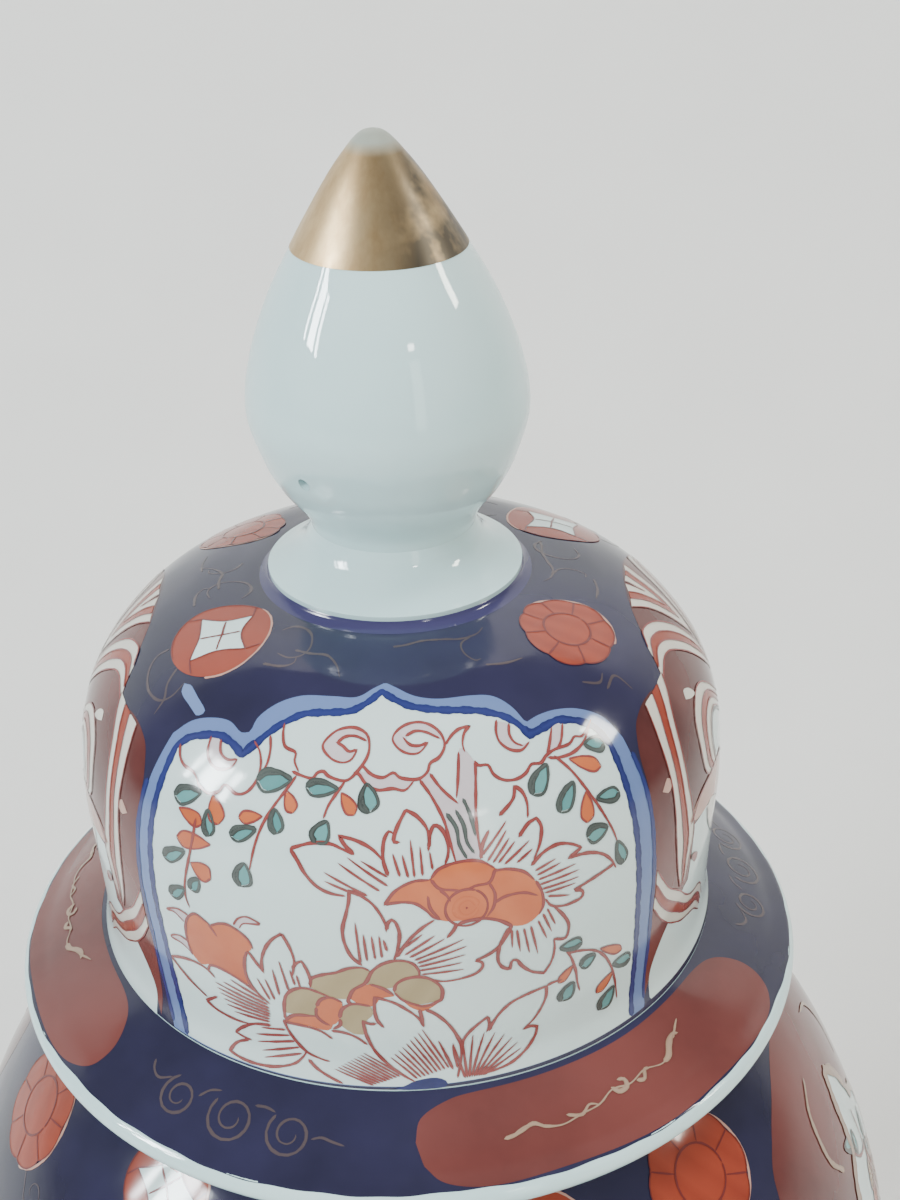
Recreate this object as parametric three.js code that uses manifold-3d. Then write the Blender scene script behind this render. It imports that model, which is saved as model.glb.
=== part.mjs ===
// A lidded porcelain jar: a thrown baluster body on a turned foot ring, with a short neck,
// and a domed lid that lifts off. The lid's flange overhangs the neck, a collar under it
// drops into the mouth, and a hollow bud finial stands on a flared stem on its crown.
// Units are millimetres, +Z is up, and the origin is the centre of the foot's resting face.
// Each clay piece that a potter throws and lutes on with slip is a mesh of its own.
import * as THREE from "three";
import { mergeVertices } from "three/addons/utils/BufferGeometryUtils.js";
import Module from "manifold-3d";

// Driving dimensions
const SEGMENTS = 48; // facets round every turned piece
const SLIP = 0.3; // film of slip between luted pieces, and the lid's play on its seat
const FOOT_RADIUS = 60.5;
const FOOT_HEIGHT = 7;
const FOOT_WIDTH = 8;
const BODY_WALL = 6;
const FLOOR_THICKNESS = 7;
const NECK_RADIUS = 52;
const MOUTH_RADIUS = 46.5; // inside of the neck
const NECK_BASE = 249.5; // where the neck is luted to the shoulder
const SEAT_HEIGHT = 259.2; // top of the neck, which the lid rests on
const RIM_RADIUS = 70; // outer edge of the lid's flange
const RIM_HEIGHT = 255; // middle of that edge above the table
const RIM_EDGE = 2.2; // radius of its rounding
const FLANGE_TOP = 264; // where the dome stands on the flange
const DOME_RADIUS = 54.4; // foot of the dome
const DOME_WALL = 5;
const CROWN_HEIGHT = 328; // flat pad on the dome, under the finial
const CROWN_RADIUS = 20;
const COLLAR_PLAY = 2; // all round, between the lid's collar and the mouth
const COLLAR_WALL = 4;
const COLLAR_DEPTH = 13.5; // how far the collar drops into the mouth
const DISC_RADIUS = 21.3; // spread foot of the stem
const DISC_EDGE = 1.8;
const STEM_RADIUS = 12.9; // waist of the stem
const STEM_TOP = 337;
const BUD_TOP = 400;
const VENT_RADIUS = 0.9; // lets the kiln's hot air out of the hollow bud
const VENT_HEIGHT = 346;
const VENT_ANGLE = -132; // degrees round from +X

const COLLAR_RADIUS = MOUTH_RADIUS - COLLAR_PLAY;
const COLLAR_BORE = COLLAR_RADIUS - COLLAR_WALL;

const WHITE_GLAZE = 0xdfe6e2;
const COBALT = 0x262c5e;
const BISCUIT = 0xd9d2c4;

const at = (radius, height) => new THREE.Vector2(radius, height);

// Evenly spaced points on a smooth curve through a few given ones.
const smooth = (points, steps) => new THREE.SplineCurve(points).getSpacedPoints(steps);

// The curve moved sideways by a distance, to its left as it is followed.
function offset(points, distance) {
  return points.map((p, i) => {
    const before = points[Math.max(i - 1, 0)];
    const after = points[Math.min(i + 1, points.length - 1)];
    const along = after.clone().sub(before).normalize();
    return at(p.x - along.y * distance, p.y + along.x * distance);
  });
}

// Points on a circular arc, with the angles in degrees.
function arc(centre, radius, from, to, steps) {
  return Array.from({ length: steps + 1 }, (_, i) => {
    const turn = THREE.MathUtils.degToRad(from + ((to - from) * i) / steps);
    return at(centre.x + radius * Math.cos(turn), centre.y + radius * Math.sin(turn));
  });
}

// Turns an outline of (radius, height) points, listed with the clay on its left.
function turned(outline) {
  const closed = outline[0].x > 0 ? [...outline, outline[0]] : outline;
  return new THREE.LatheGeometry(closed, SEGMENTS).rotateX(Math.PI / 2);
}

function piece(name, geometry, color) {
  const glazed = { roughness: 0.12, metalness: 0 };
  const bare = { roughness: 0.8, metalness: 0 };
  const finish = color === BISCUIT ? bare : glazed;
  const mesh = new THREE.Mesh(geometry, new THREE.MeshStandardMaterial({ color, ...finish }));
  mesh.name = name;
  return mesh;
}

// Foot: a ring with softened edges that the whole jar stands on.
function footRing() {
  const inner = FOOT_RADIUS - FOOT_WIDTH;
  const soft = 1.2;
  const top = FOOT_HEIGHT - SLIP;
  return turned([
    at(inner + soft, 0),
    at(FOOT_RADIUS - soft, 0),
    at(FOOT_RADIUS, soft),
    at(FOOT_RADIUS + 0.4, top),
    at(inner - 0.6, top),
    at(inner, soft),
  ]);
}

// Body: a baluster with a waist above the foot and high, round shoulders.
function jarBody() {
  const floor = FOOT_HEIGHT + FLOOR_THICKNESS;
  const outer = smooth(
    [
      at(FOOT_RADIUS + 0.4, FOOT_HEIGHT),
      at(60, 16),
      at(62.5, 34),
      at(71, 64),
      at(81.5, 96),
      at(90, 128),
      at(94.4, 160),
      at(91.6, 190),
      at(84, 213),
      at(74, 230.5),
      at(62.5, 243.2),
      at(NECK_RADIUS + 1, NECK_BASE),
    ],
    20,
  );
  const inner = offset(outer, BODY_WALL)
    .filter((p) => p.y > floor + 10 && p.x > MOUTH_RADIUS + 3)
    .reverse();
  const heel = smooth([inner.at(-1), at(50, floor + 2.5), at(38, floor)], 4).slice(1);
  return turned([
    at(0, FOOT_HEIGHT),
    ...outer,
    at(MOUTH_RADIUS, NECK_BASE),
    at(MOUTH_RADIUS, NECK_BASE - 4),
    ...inner,
    ...heel,
    at(0, floor),
  ]);
}

// Neck: a short upright ring luted to the shoulder, rounded at the lip.
function jarNeck() {
  const lip = 1;
  const base = NECK_BASE + SLIP;
  return turned([
    at(MOUTH_RADIUS, base),
    at(NECK_RADIUS + 1, base),
    at(NECK_RADIUS, base + 2),
    ...arc(at(NECK_RADIUS - lip, SEAT_HEIGHT - lip), lip, 0, 90, 2),
    ...arc(at(MOUTH_RADIUS + lip, SEAT_HEIGHT - lip), lip, 90, 180, 2),
  ]);
}

// Flange: a sloping brim, flat underneath where it rests on the neck.
function lidFlange() {
  const underside = SEAT_HEIGHT + SLIP;
  return turned([
    at(COLLAR_BORE, underside),
    at(NECK_RADIUS + 1.5, underside),
    at(57, 258.2),
    at(62, 255.4),
    ...arc(at(RIM_RADIUS - RIM_EDGE, RIM_HEIGHT), RIM_EDGE, 250, 425, 6),
    at(63.5, 259.7),
    at(58.6, 262.2),
    at(DOME_RADIUS, FLANGE_TOP),
    at(COLLAR_BORE, FLANGE_TOP),
  ]);
}

// Collar: the ring under the flange that keeps the lid in the mouth.
function lidCollar() {
  const top = SEAT_HEIGHT;
  const bottom = SEAT_HEIGHT + SLIP - COLLAR_DEPTH;
  const taper = 0.7;
  return turned([
    at(COLLAR_BORE + 0.8, bottom),
    at(COLLAR_RADIUS - taper - 0.8, bottom),
    at(COLLAR_RADIUS - taper, bottom + 1),
    at(COLLAR_RADIUS, top),
    at(COLLAR_BORE, top),
    at(COLLAR_BORE, bottom + 1),
  ]);
}

// Dome: upright sides that turn in over a round shoulder to a low crown.
function lidDome() {
  const base = FLANGE_TOP + SLIP;
  const outer = smooth(
    [
      at(DOME_RADIUS, base),
      at(53.6, 270),
      at(54.1, 282),
      at(54.7, 294),
      at(53.6, 305),
      at(49.8, 313.6),
      at(43, 321),
      at(34.3, 325.6),
      at(26, 327.4),
      at(CROWN_RADIUS, CROWN_HEIGHT),
    ],
    16,
  );
  const inner = offset(outer, DOME_WALL).reverse();
  inner[inner.length - 1] = at(DOME_RADIUS - DOME_WALL, base);
  return turned([
    at(0, CROWN_HEIGHT - DOME_WALL),
    ...inner,
    ...outer,
    at(0, CROWN_HEIGHT),
  ]);
}

// Stem: a waisted pedestal that spreads into a thin disc on the crown.
function finialStem() {
  const base = CROWN_HEIGHT + SLIP;
  const flare = smooth(
    [
      at(DISC_RADIUS - 0.4, CROWN_HEIGHT + DISC_EDGE),
      at(17, 331),
      at(14, 333.4),
      at(STEM_RADIUS, STEM_TOP),
    ],
    6,
  );
  return turned([
    at(0, base),
    at(DISC_RADIUS - 0.4, base),
    at(DISC_RADIUS, CROWN_HEIGHT + DISC_EDGE / 2),
    ...flare,
    at(0, STEM_TOP),
  ]);
}

// A closed three.js geometry as a manifold-3d solid.
function solidOf(wasm, geometry) {
  const bare = geometry.clone().deleteAttribute("normal").deleteAttribute("uv");
  const merged = mergeVertices(bare, 1e-3);
  const mesh = new wasm.Mesh({
    numProp: 3,
    vertProperties: merged.attributes.position.array,
    triVerts: new Uint32Array(merged.index.array),
  });
  return new wasm.Manifold(mesh);
}

// A manifold-3d solid as a three.js geometry.
function geometryOf(solid) {
  const { vertProperties, triVerts } = solid.getMesh();
  return new THREE.BufferGeometry()
    .setAttribute("position", new THREE.BufferAttribute(vertProperties, 3))
    .setIndex(new THREE.BufferAttribute(triVerts, 1));
}

// Bud: a hollow shell, widest below its middle and drawn up to a blunt point, with a vent
// pricked through the wall low on one side.
async function finialBud() {
  const wasm = await Module();
  wasm.setup();
  const outer = smooth(
    [
      at(STEM_RADIUS, STEM_TOP + SLIP),
      at(16.2, 342.7),
      at(20, 349.1),
      at(22.4, 357),
      at(21.3, 365.2),
      at(17.8, 374.8),
      at(13, 384.4),
      at(6.8, 394.4),
      at(3.2, 398.6),
      at(0, BUD_TOP),
    ],
    16,
  );
  const inner = smooth(
    [
      at(0, 341.8),
      at(9, 343.6),
      at(15, 349.6),
      at(17.9, 357),
      at(16.9, 364.6),
      at(13.4, 373.6),
      at(8.4, 383),
      at(0, 391),
    ],
    9,
  );
  const vent = new THREE.CylinderGeometry(VENT_RADIUS, VENT_RADIUS, 14, 8)
    .rotateZ(Math.PI / 2)
    .translate(17, 0, VENT_HEIGHT)
    .rotateZ(THREE.MathUtils.degToRad(VENT_ANGLE));
  const hollow = solidOf(wasm, turned([at(0, STEM_TOP + SLIP), ...outer]))
    .subtract(solidOf(wasm, turned(inner)))
    .subtract(solidOf(wasm, vent));
  return geometryOf(hollow);
}

const jar = new THREE.Group();
jar.add(
  piece("foot_ring", footRing(), BISCUIT),
  piece("jar_body", jarBody(), COBALT),
  piece("jar_neck", jarNeck(), WHITE_GLAZE),
);

const lid = new THREE.Group();
lid.add(
  piece("lid_flange", lidFlange(), COBALT),
  piece("lid_collar", lidCollar(), BISCUIT),
  piece("lid_dome", lidDome(), WHITE_GLAZE),
  piece("finial_stem", finialStem(), WHITE_GLAZE),
  piece("finial_bud", await finialBud(), WHITE_GLAZE),
);

const gingerJar = new THREE.Group();
gingerJar.add(jar, lid);

export default gingerJar;
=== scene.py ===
"""A painted porcelain jar with a lift-off lid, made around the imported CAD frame.

The clay pieces are smooth solids of revolution. The painting is laid on them as thin films of
colour, one mesh for each pigment, in the order a decorator works: grounds, bands, washes, then
lines. Every film is drawn on the unrolled wall: x is millimetres round the wall from the front,
measured at the wall's reference radius, and y is millimetres up the clay from its lower edge.
"""
import math
import random

import bpy
import numpy as np
from mathutils import Matrix, Vector
from mathutils.geometry import delaunay_2d_cdt


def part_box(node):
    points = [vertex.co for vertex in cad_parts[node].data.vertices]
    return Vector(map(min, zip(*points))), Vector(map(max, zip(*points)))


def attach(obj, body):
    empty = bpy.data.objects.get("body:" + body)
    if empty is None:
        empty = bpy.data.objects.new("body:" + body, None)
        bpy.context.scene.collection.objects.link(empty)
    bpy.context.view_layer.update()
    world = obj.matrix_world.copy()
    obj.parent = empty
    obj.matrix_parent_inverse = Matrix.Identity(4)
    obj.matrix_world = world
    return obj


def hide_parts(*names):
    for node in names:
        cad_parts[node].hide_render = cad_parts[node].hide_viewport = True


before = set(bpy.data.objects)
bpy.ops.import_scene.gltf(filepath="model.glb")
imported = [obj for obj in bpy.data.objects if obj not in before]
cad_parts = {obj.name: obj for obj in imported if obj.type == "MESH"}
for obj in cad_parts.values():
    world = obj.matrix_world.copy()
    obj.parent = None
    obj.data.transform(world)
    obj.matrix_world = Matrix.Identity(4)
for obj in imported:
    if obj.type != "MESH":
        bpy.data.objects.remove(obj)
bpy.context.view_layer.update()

MM = 0.001
CREASE = 0.75  # radians; a clay edge sharper than this stays sharp
hand = random.Random(7)  # the unsteadiness of the decorator's hand


# ---------------------------------------------------------------- shapes of the clay

def low(node):
    """The height of a CAD piece's lowest point, in mm."""
    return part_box(node)[0][2] / MM


def high(node):
    """The height of a CAD piece's highest point, in mm."""
    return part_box(node)[1][2] / MM


def smooth(points, steps, closed=False):
    """A Catmull-Rom curve through the points, with this many steps between each two."""
    points = np.asarray(points, float)
    if closed:
        padded = np.vstack([points[-1], points, points[0], points[1]])
    else:
        padded = np.vstack([2 * points[0] - points[1], points, 2 * points[-1] - points[-2]])
    t = (np.arange(steps) / steps)[:, None]
    spans = []
    for a, b, c, d in zip(padded, padded[1:], padded[2:], padded[3:]):
        bend = (2 * a - 5 * b + 4 * c - d) * t**2 + (-a + 3 * b - 3 * c + d) * t**3
        spans.append(0.5 * (2 * b + (c - a) * t + bend))
    if not closed:
        spans.append(points[-1:])
    return np.vstack(spans)


def spaced(curve, spans):
    """The curve cut into this many equal spans, ends kept."""
    run = np.concatenate([[0], np.cumsum(np.hypot(*np.diff(curve, axis=0).T))])
    along = np.linspace(0, run[-1], spans + 1)
    return np.column_stack([np.interp(along, run, curve[:, 0]), np.interp(along, run, curve[:, 1])])


def evenly(curve, gap):
    """The curve's points respaced at about this gap, ends kept."""
    length = np.hypot(*np.diff(curve, axis=0).T).sum()
    return spaced(curve, max(int(math.ceil(length / gap)), 2))


def arc(centre, radius, start, end, steps):
    """Points on a circle, from one angle to another in degrees."""
    turn = np.radians(np.linspace(start, end, steps + 1))
    return [(centre[0] + radius * math.cos(a), centre[1] + radius * math.sin(a)) for a in turn]


def around_origin(radius, angle):
    """The point at this angle, in degrees, on a circle round the origin."""
    return arc((0, 0), radius, angle, angle, 1)[0]


class Wall:
    """The outside of a turned piece, as the decorator sees it unrolled."""

    def __init__(self, outline, reference):
        self.curve = smooth(outline, 16)
        self.run = np.concatenate([[0], np.cumsum(np.hypot(*np.diff(self.curve, axis=0).T))])
        self.height = self.run[-1]
        self.reference = reference
        slope = np.gradient(self.curve, self.run, axis=0)
        length = np.hypot(slope[:, 0], slope[:, 1])
        self.out = slope[:, 1] / length
        self.up = -slope[:, 0] / length

    def radius(self, y):
        return float(np.interp(y, self.run, self.curve[:, 0]))

    def place(self, x, y, lift):
        """Points on the wall in metres, and the wall's normals there."""
        turn = x / self.reference
        out = np.interp(y, self.run, self.out)
        up = np.interp(y, self.run, self.up)
        radius = np.interp(y, self.run, self.curve[:, 0]) + out * lift
        height = np.interp(y, self.run, self.curve[:, 1]) + up * lift
        round_x, round_y = np.sin(turn), -np.cos(turn)
        points = np.column_stack([radius * round_x, radius * round_y, height]) * MM
        normals = np.column_stack([out * round_x, out * round_y, up])
        return points, normals / np.linalg.norm(normals, axis=1)[:, None]


def new_object(name, points, faces, material, normals=None):
    """A smooth-shaded mesh; its normals are the ones given, or follow its own faces."""
    mesh = bpy.data.meshes.new(name)
    mesh.from_pydata(points, [], faces)
    mesh.polygons.foreach_set("use_smooth", [True] * len(mesh.polygons))
    mesh.materials.append(material)
    if normals is not None:
        mesh.normals_split_custom_set_from_vertices(normals)
    else:
        mesh.set_sharp_from_angle(angle=CREASE)
    piece = bpy.data.objects.new(name, mesh)
    bpy.context.collection.objects.link(piece)
    return piece


def turned(name, outline, material, segments=192, lean=None):
    """A solid of revolution from (radius, height) points in mm; ends on the axis or closes."""
    outline = np.asarray(outline, float)
    on_axis = outline[0][0] < 1e-6
    rings = outline[1:-1] if on_axis else outline
    turn = np.linspace(0, 2 * math.pi, segments, endpoint=False)
    points = [(r * math.cos(a), r * math.sin(a), z) for r, z in rings for a in turn]
    faces = []
    last = len(rings) - 1 if on_axis else len(rings)
    for i in range(last):
        here, there = i * segments, (i + 1) % len(rings) * segments
        for k in range(segments):
            n = (k + 1) % segments
            faces.append((here + k, here + n, there + n, there + k))
    if on_axis:
        first, final = len(points), len(points) + 1
        points += [(0, 0, outline[0][1]), (0, 0, outline[-1][1])]
        top = last * segments
        for k in range(segments):
            n = (k + 1) % segments
            faces.append((first, n, k))
            faces.append((final, top + k, top + n))
    points = np.array(points) * MM
    if lean is not None:
        points = lean(points)
    return new_object(name, points.tolist(), faces, material)


# ---------------------------------------------------------------- glazes and pigments

def noise_at(tree, scale, detail=3.0, roughness=0.5, stretch=(1, 1, 1)):
    """The noise texture's strength, in the object's own metres."""
    where = tree.nodes.new("ShaderNodeTexCoord")
    mapping = tree.nodes.new("ShaderNodeMapping")
    mapping.inputs["Scale"].default_value = stretch
    texture = tree.nodes.new("ShaderNodeTexNoise")
    texture.inputs["Scale"].default_value = scale
    texture.inputs["Detail"].default_value = detail
    texture.inputs["Roughness"].default_value = roughness
    tree.links.new(where.outputs["Object"], mapping.inputs["Vector"])
    tree.links.new(mapping.outputs["Vector"], texture.inputs["Vector"])
    return texture.outputs["Fac"]


def remap(tree, value, low_in, high_in, low_out=0.0, high_out=1.0):
    """A value carried from one range to another, and held inside it."""
    node = tree.nodes.new("ShaderNodeMapRange")
    node.inputs["From Min"].default_value = low_in
    node.inputs["From Max"].default_value = high_in
    node.inputs["To Min"].default_value = low_out
    node.inputs["To Max"].default_value = high_out
    tree.links.new(value, node.inputs["Value"])
    return node.outputs["Result"]


def product_of(tree, first, second):
    """The product of two sockets or numbers, held between 0 and 1."""
    node = tree.nodes.new("ShaderNodeMath")
    node.operation = "MULTIPLY"
    node.use_clamp = True
    for socket, value in zip(node.inputs, (first, second)):
        if isinstance(value, float):
            socket.default_value = value
        else:
            tree.links.new(value, socket)
    return node.outputs[0]


def blend_of(tree, amount, first, second):
    """A colour between two, each a colour or a socket."""
    node = tree.nodes.new("ShaderNodeMix")
    node.data_type = "RGBA"
    tree.links.new(amount, node.inputs[0])
    for socket, value in zip((node.inputs[6], node.inputs[7]), (first, second)):
        if isinstance(value, tuple):
            socket.default_value = (*value, 1)
        else:
            tree.links.new(value, socket)
    return node.outputs[2]


def ripple(tree, shader):
    """The slow unevenness of a fired glaze, the same on every film, so reflections run through."""
    slow = noise_at(tree, 38, 2)
    bump = tree.nodes.new("ShaderNodeBump")
    bump.inputs["Strength"].default_value = 0.35
    bump.inputs["Distance"].default_value = 0.0012
    tree.links.new(slow, bump.inputs["Height"])
    tree.links.new(bump.outputs["Normal"], shader.inputs["Normal"])


def new_material(name):
    material = bpy.data.materials.new(name)
    material.use_nodes = True
    tree = material.node_tree
    return material, tree, tree.nodes["Principled BSDF"]


def clear_glaze():
    """White porcelain under clear glaze: a little blue-green, with iron specks and cloudiness."""
    material, tree, shader = new_material("white_glaze")
    cloud = remap(tree, noise_at(tree, 22, 4), 0.3, 0.7)
    body = blend_of(tree, cloud, (0.47, 0.65, 0.665), (0.56, 0.735, 0.735))
    specks = remap(tree, noise_at(tree, 900, 1), 0.80, 0.86)
    rare = remap(tree, noise_at(tree, 130, 1), 0.56, 0.62)
    colour = blend_of(tree, product_of(tree, specks, rare), body, (0.25, 0.2, 0.16))
    tree.links.new(colour, shader.inputs["Base Color"])
    tree.links.new(remap(tree, noise_at(tree, 60), 0.3, 0.7, 0.02, 0.06), shader.inputs["Roughness"])
    ripple(tree, shader)
    return material


def bare_clay():
    """Unglazed clay: gritty, and stained brown in places."""
    material, tree, shader = new_material("biscuit")
    grain = remap(tree, noise_at(tree, 500, 6, 0.7), 0.3, 0.7)
    stain = remap(tree, noise_at(tree, 35, 3), 0.45, 0.7)
    clay = blend_of(tree, grain, (0.62, 0.55, 0.44), (0.72, 0.66, 0.55))
    tree.links.new(blend_of(tree, stain, clay, (0.5, 0.37, 0.25)), shader.inputs["Base Color"])
    shader.inputs["Roughness"].default_value = 0.85
    bump = tree.nodes.new("ShaderNodeBump")
    bump.inputs["Strength"].default_value = 0.4
    bump.inputs["Distance"].default_value = 0.0002
    tree.links.new(grain, bump.inputs["Height"])
    tree.links.new(bump.outputs["Normal"], shader.inputs["Normal"])
    return material


def pigment(name, thin, thick, scale):
    """Ceramic colour between a thin and a thick coat: patchy, and thicker where it pooled."""
    material, tree, shader = new_material(name)
    patches = remap(tree, noise_at(tree, scale, 4, 0.6), 0.32, 0.68)
    pooled = tree.nodes.new("ShaderNodeAttribute")
    pooled.attribute_name = "coat"
    depth = product_of(tree, pooled.outputs["Fac"], remap(tree, patches, 0, 1, 0.55, 1.0))
    tree.links.new(blend_of(tree, depth, thin, thick), shader.inputs["Base Color"])
    tree.links.new(remap(tree, noise_at(tree, 90), 0.3, 0.7, 0.07, 0.16), shader.inputs["Roughness"])
    ripple(tree, shader)
    return material


GLAZE = clear_glaze()
BISCUIT = bare_clay()

WHITE_WASH = pigment("white_wash", (0.55, 0.675, 0.67), (0.635, 0.74, 0.72), 40)

# Pigments in the order they are laid, each with its material and the record's slot.
PIGMENTS = {
    "cobalt": (pigment("cobalt", (0.042, 0.038, 0.102), (0.006, 0.006, 0.013), 24), "cobalt_blue"),
    "red_ground": (pigment("red_ground", (0.185, 0.052, 0.044), (0.065, 0.015, 0.014), 50), "iron_red"),
    "worn_gilt": (pigment("worn_gilt", (0.085, 0.062, 0.062), (0.05, 0.038, 0.048), 160), "gilding"),
    "sky": (pigment("sky", (0.145, 0.215, 0.41), (0.075, 0.12, 0.30), 60), "light_blue"),
    "reserve": (WHITE_WASH, "white_glaze"),
    "cream": (pigment("cream", (0.64, 0.63, 0.57), (0.56, 0.50, 0.41), 60), "white_glaze"),
    "blush": (pigment("blush", (0.50, 0.31, 0.25), (0.40, 0.19, 0.14), 45), "orange_enamel"),
    "tile_orange": (pigment("tile_orange", (0.30, 0.050, 0.024), (0.20, 0.026, 0.013), 90),
                    "orange_enamel"),
    "panes": (WHITE_WASH, "white_glaze"),
    "navy": (pigment("navy", (0.03, 0.042, 0.18), (0.010, 0.013, 0.07), 120), "cobalt_blue"),
    "ash": (pigment("ash", (0.57, 0.52, 0.53), (0.40, 0.33, 0.37), 150), "grey_wash"),
    "khaki": (pigment("khaki", (0.37, 0.29, 0.16), (0.26, 0.19, 0.09), 120), "gilding"),
    "orange": (pigment("orange", (0.56, 0.155, 0.058), (0.37, 0.064, 0.023), 150), "orange_enamel"),
    "turquoise": (pigment("turquoise", (0.12, 0.295, 0.29), (0.04, 0.165, 0.17), 200),
                  "turquoise_enamel"),
    "deep_red": (pigment("deep_red", (0.17, 0.030, 0.026), (0.10, 0.016, 0.016), 200), "iron_red"),
    "red_line": (pigment("red_line", (0.29, 0.070, 0.062), (0.15, 0.024, 0.024), 260), "iron_red"),
    "black_line": (pigment("black_line", (0.10, 0.12, 0.11), (0.014, 0.014, 0.013), 260), "dark_line"),
    "old_gilt": (pigment("old_gilt", (0.37, 0.27, 0.19), (0.23, 0.135, 0.09), 200), "gilding"),
}
CLEAR = 0.03  # mm from the clay to where the films of colour begin
FILM = 0.010  # mm from one film of colour to the next
LIFT = {name: CLEAR + FILM * (i + 1) for i, name in enumerate(PIGMENTS)}
LIFT["cobalt"] = 0.028  # well under the rest, because the ground covers whole walls


# ---------------------------------------------------------------- brushwork

def path(text):
    """Reads "x,y x,y | x,y ..." into stretches of points; a bar is a sharp corner."""
    return [
        np.array([[float(n) for n in pair.split(",")] for pair in stretch.split()])
        for stretch in text.split("|")
    ]


def joined(stretches):
    """One curve through smooth stretches that meet at sharp corners."""
    parts = []
    for i, stretch in enumerate(stretches):
        if i:
            stretch = np.vstack([stretches[i - 1][-1], stretch])
        parts.append(smooth(stretch, 8) if len(stretch) > 2 else stretch)
    return np.vstack(parts)


class Film:
    """One pigment on one wall. Everything it is used for there becomes one mesh."""

    def __init__(self, canvas, name):
        self.canvas, self.name = canvas, name
        self.points, self.faces, self.coats = [], [], []

    def add(self, points, faces, coats):
        start = len(self.points)
        self.points.extend(map(tuple, points))
        self.faces.extend(tuple(start + k for k in face) for face in faces)
        self.coats.extend(coats)

    def stroke(self, curve, width, blunt):
        """A brush line: rounded where it lands, thinner where it lifts, darker at its edges."""
        curve = evenly(curve, min(0.45, width))
        ahead = np.gradient(curve, axis=0)
        ahead /= np.hypot(ahead[:, 0], ahead[:, 1])[:, None] + 1e-9
        aside = np.column_stack([-ahead[:, 1], ahead[:, 0]])
        steps = np.hypot(*np.diff(curve, axis=0).T)
        run = np.concatenate([[0], np.cumsum(steps)])
        total = run[-1]
        landing = np.clip(run / (0.6 * width), 0, 1)
        lifting = np.clip((total - run) / (0.6 * width), 0, 1)
        press = np.sqrt(1 - (1 - landing) ** 2) * np.sqrt(1 - (1 - lifting) ** 2)
        fade = 1 - (1 - blunt) * np.clip((run / total - 0.55) / 0.45, 0, 1) ** 1.5
        phase, pace = hand.uniform(0, 6.28), hand.uniform(0.8, 1.6)
        sway = 1 + 0.13 * np.sin(run * pace + phase) + 0.07 * np.sin(run * pace * 2.7 + phase * 2)
        half = 0.5 * width * np.maximum(press, 0.12) * fade * sway
        across = max(2, int(math.ceil(width / 1.0)))
        sides = np.linspace(-1, 1, across + 1 if across > 2 else 3)
        points, coats = [], []
        depth = hand.uniform(0.75, 1.0)
        for p, s, h in zip(curve, aside, half):
            for side in sides:
                points.append(p + s * h * side)
                coats.append(depth * (0.45 + 0.55 * abs(side)))
        n = len(sides)
        faces = [
            (i * n + k, i * n + n + k, i * n + n + k + 1, i * n + k + 1)
            for i in range(len(curve) - 1)
            for k in range(n - 1)
        ]
        self.add(points, faces, coats)

    def fill(self, outline, coat, fade=None):
        """An area inside a closed curve, with points inside it that let it follow the wall."""
        gap = self.canvas.gap
        edge = evenly(np.vstack([outline, outline[:1]]), gap * 0.8)[:-1]
        lo, hi = edge.min(axis=0), edge.max(axis=0)
        rows = np.arange(lo[1] + gap / 2, hi[1], gap * 0.87)
        grid = np.array([
            (x + gap / 2 * (k % 2), y)
            for k, y in enumerate(rows)
            for x in np.arange(lo[0] - gap / 2, hi[0], gap)
        ]).reshape(-1, 2)
        if len(grid):
            grid = grid[inside(grid, edge, gap * 0.45)]
        count = len(edge)
        loop = [list(range(count))]
        everything = [Vector(p) for p in np.vstack([edge, grid])]
        verts, _, faces, *_ = delaunay_2d_cdt(everything, [], loop, 1, 1e-5)
        faces = [face for face in faces if area_of(verts, face) > 1e-7]
        coats = [coat if fade is None else coat * fade(v[0], v[1]) for v in verts]
        self.add([(v[0], v[1]) for v in verts], faces, coats)

    def ring(self, bottom, top, coat, sway=0.0):
        """A band all the way round the wall, between two heights."""
        around = 2 * math.pi * self.canvas.wall.reference
        columns = int(around / self.canvas.gap)
        rows = max(int((top - bottom) / self.canvas.gap * 1.6), 1)
        x = np.linspace(-around / 2, around / 2, columns, endpoint=False)
        drift = sway * (np.sin(x * 0.11 + 1) + 0.5 * np.sin(x * 0.29) + 0.3 * np.sin(x * 0.83))
        points, faces = [], []
        for k in range(rows + 1):
            part = k / rows
            lift = bottom + (top - bottom) * part + drift * (1 - part)
            points.extend(zip(x, lift))
        for k in range(rows):
            for i in range(columns):
                n = (i + 1) % columns
                a, b = k * columns, (k + 1) * columns
                faces.append((a + i, a + n, b + n, b + i))
        self.add(points, faces, [coat] * len(points))

    def build(self):
        material, slot = PIGMENTS[self.name]
        flat = np.array(self.points)
        points, normals = self.canvas.wall.place(flat[:, 0], flat[:, 1], LIFT[self.name])
        name = f"{self.canvas.title}_{self.name}"
        piece = new_object(name, points.tolist(), facing_out(points, normals, self.faces), material,
                           normals.tolist())
        coat = piece.data.attributes.new("coat", "FLOAT", "POINT")
        coat.data.foreach_set("value", self.coats)
        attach(piece, self.canvas.body)


def inside(points, loop, margin):
    """Which points are inside a closed loop and at least this far from its corners."""
    x, y = points[:, :1], points[:, 1:]
    a, b = loop, np.roll(loop, -1, axis=0)
    crosses = (a[:, 1] > y) != (b[:, 1] > y)
    with np.errstate(divide="ignore", invalid="ignore"):
        at = (b[:, 0] - a[:, 0]) * (y - a[:, 1]) / (b[:, 1] - a[:, 1]) + a[:, 0]
    within = (crosses & (x < at)).sum(axis=1) % 2 == 1
    near = np.hypot(x - loop[:, 0], y - loop[:, 1]).min(axis=1)
    return within & (near > margin)


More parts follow.
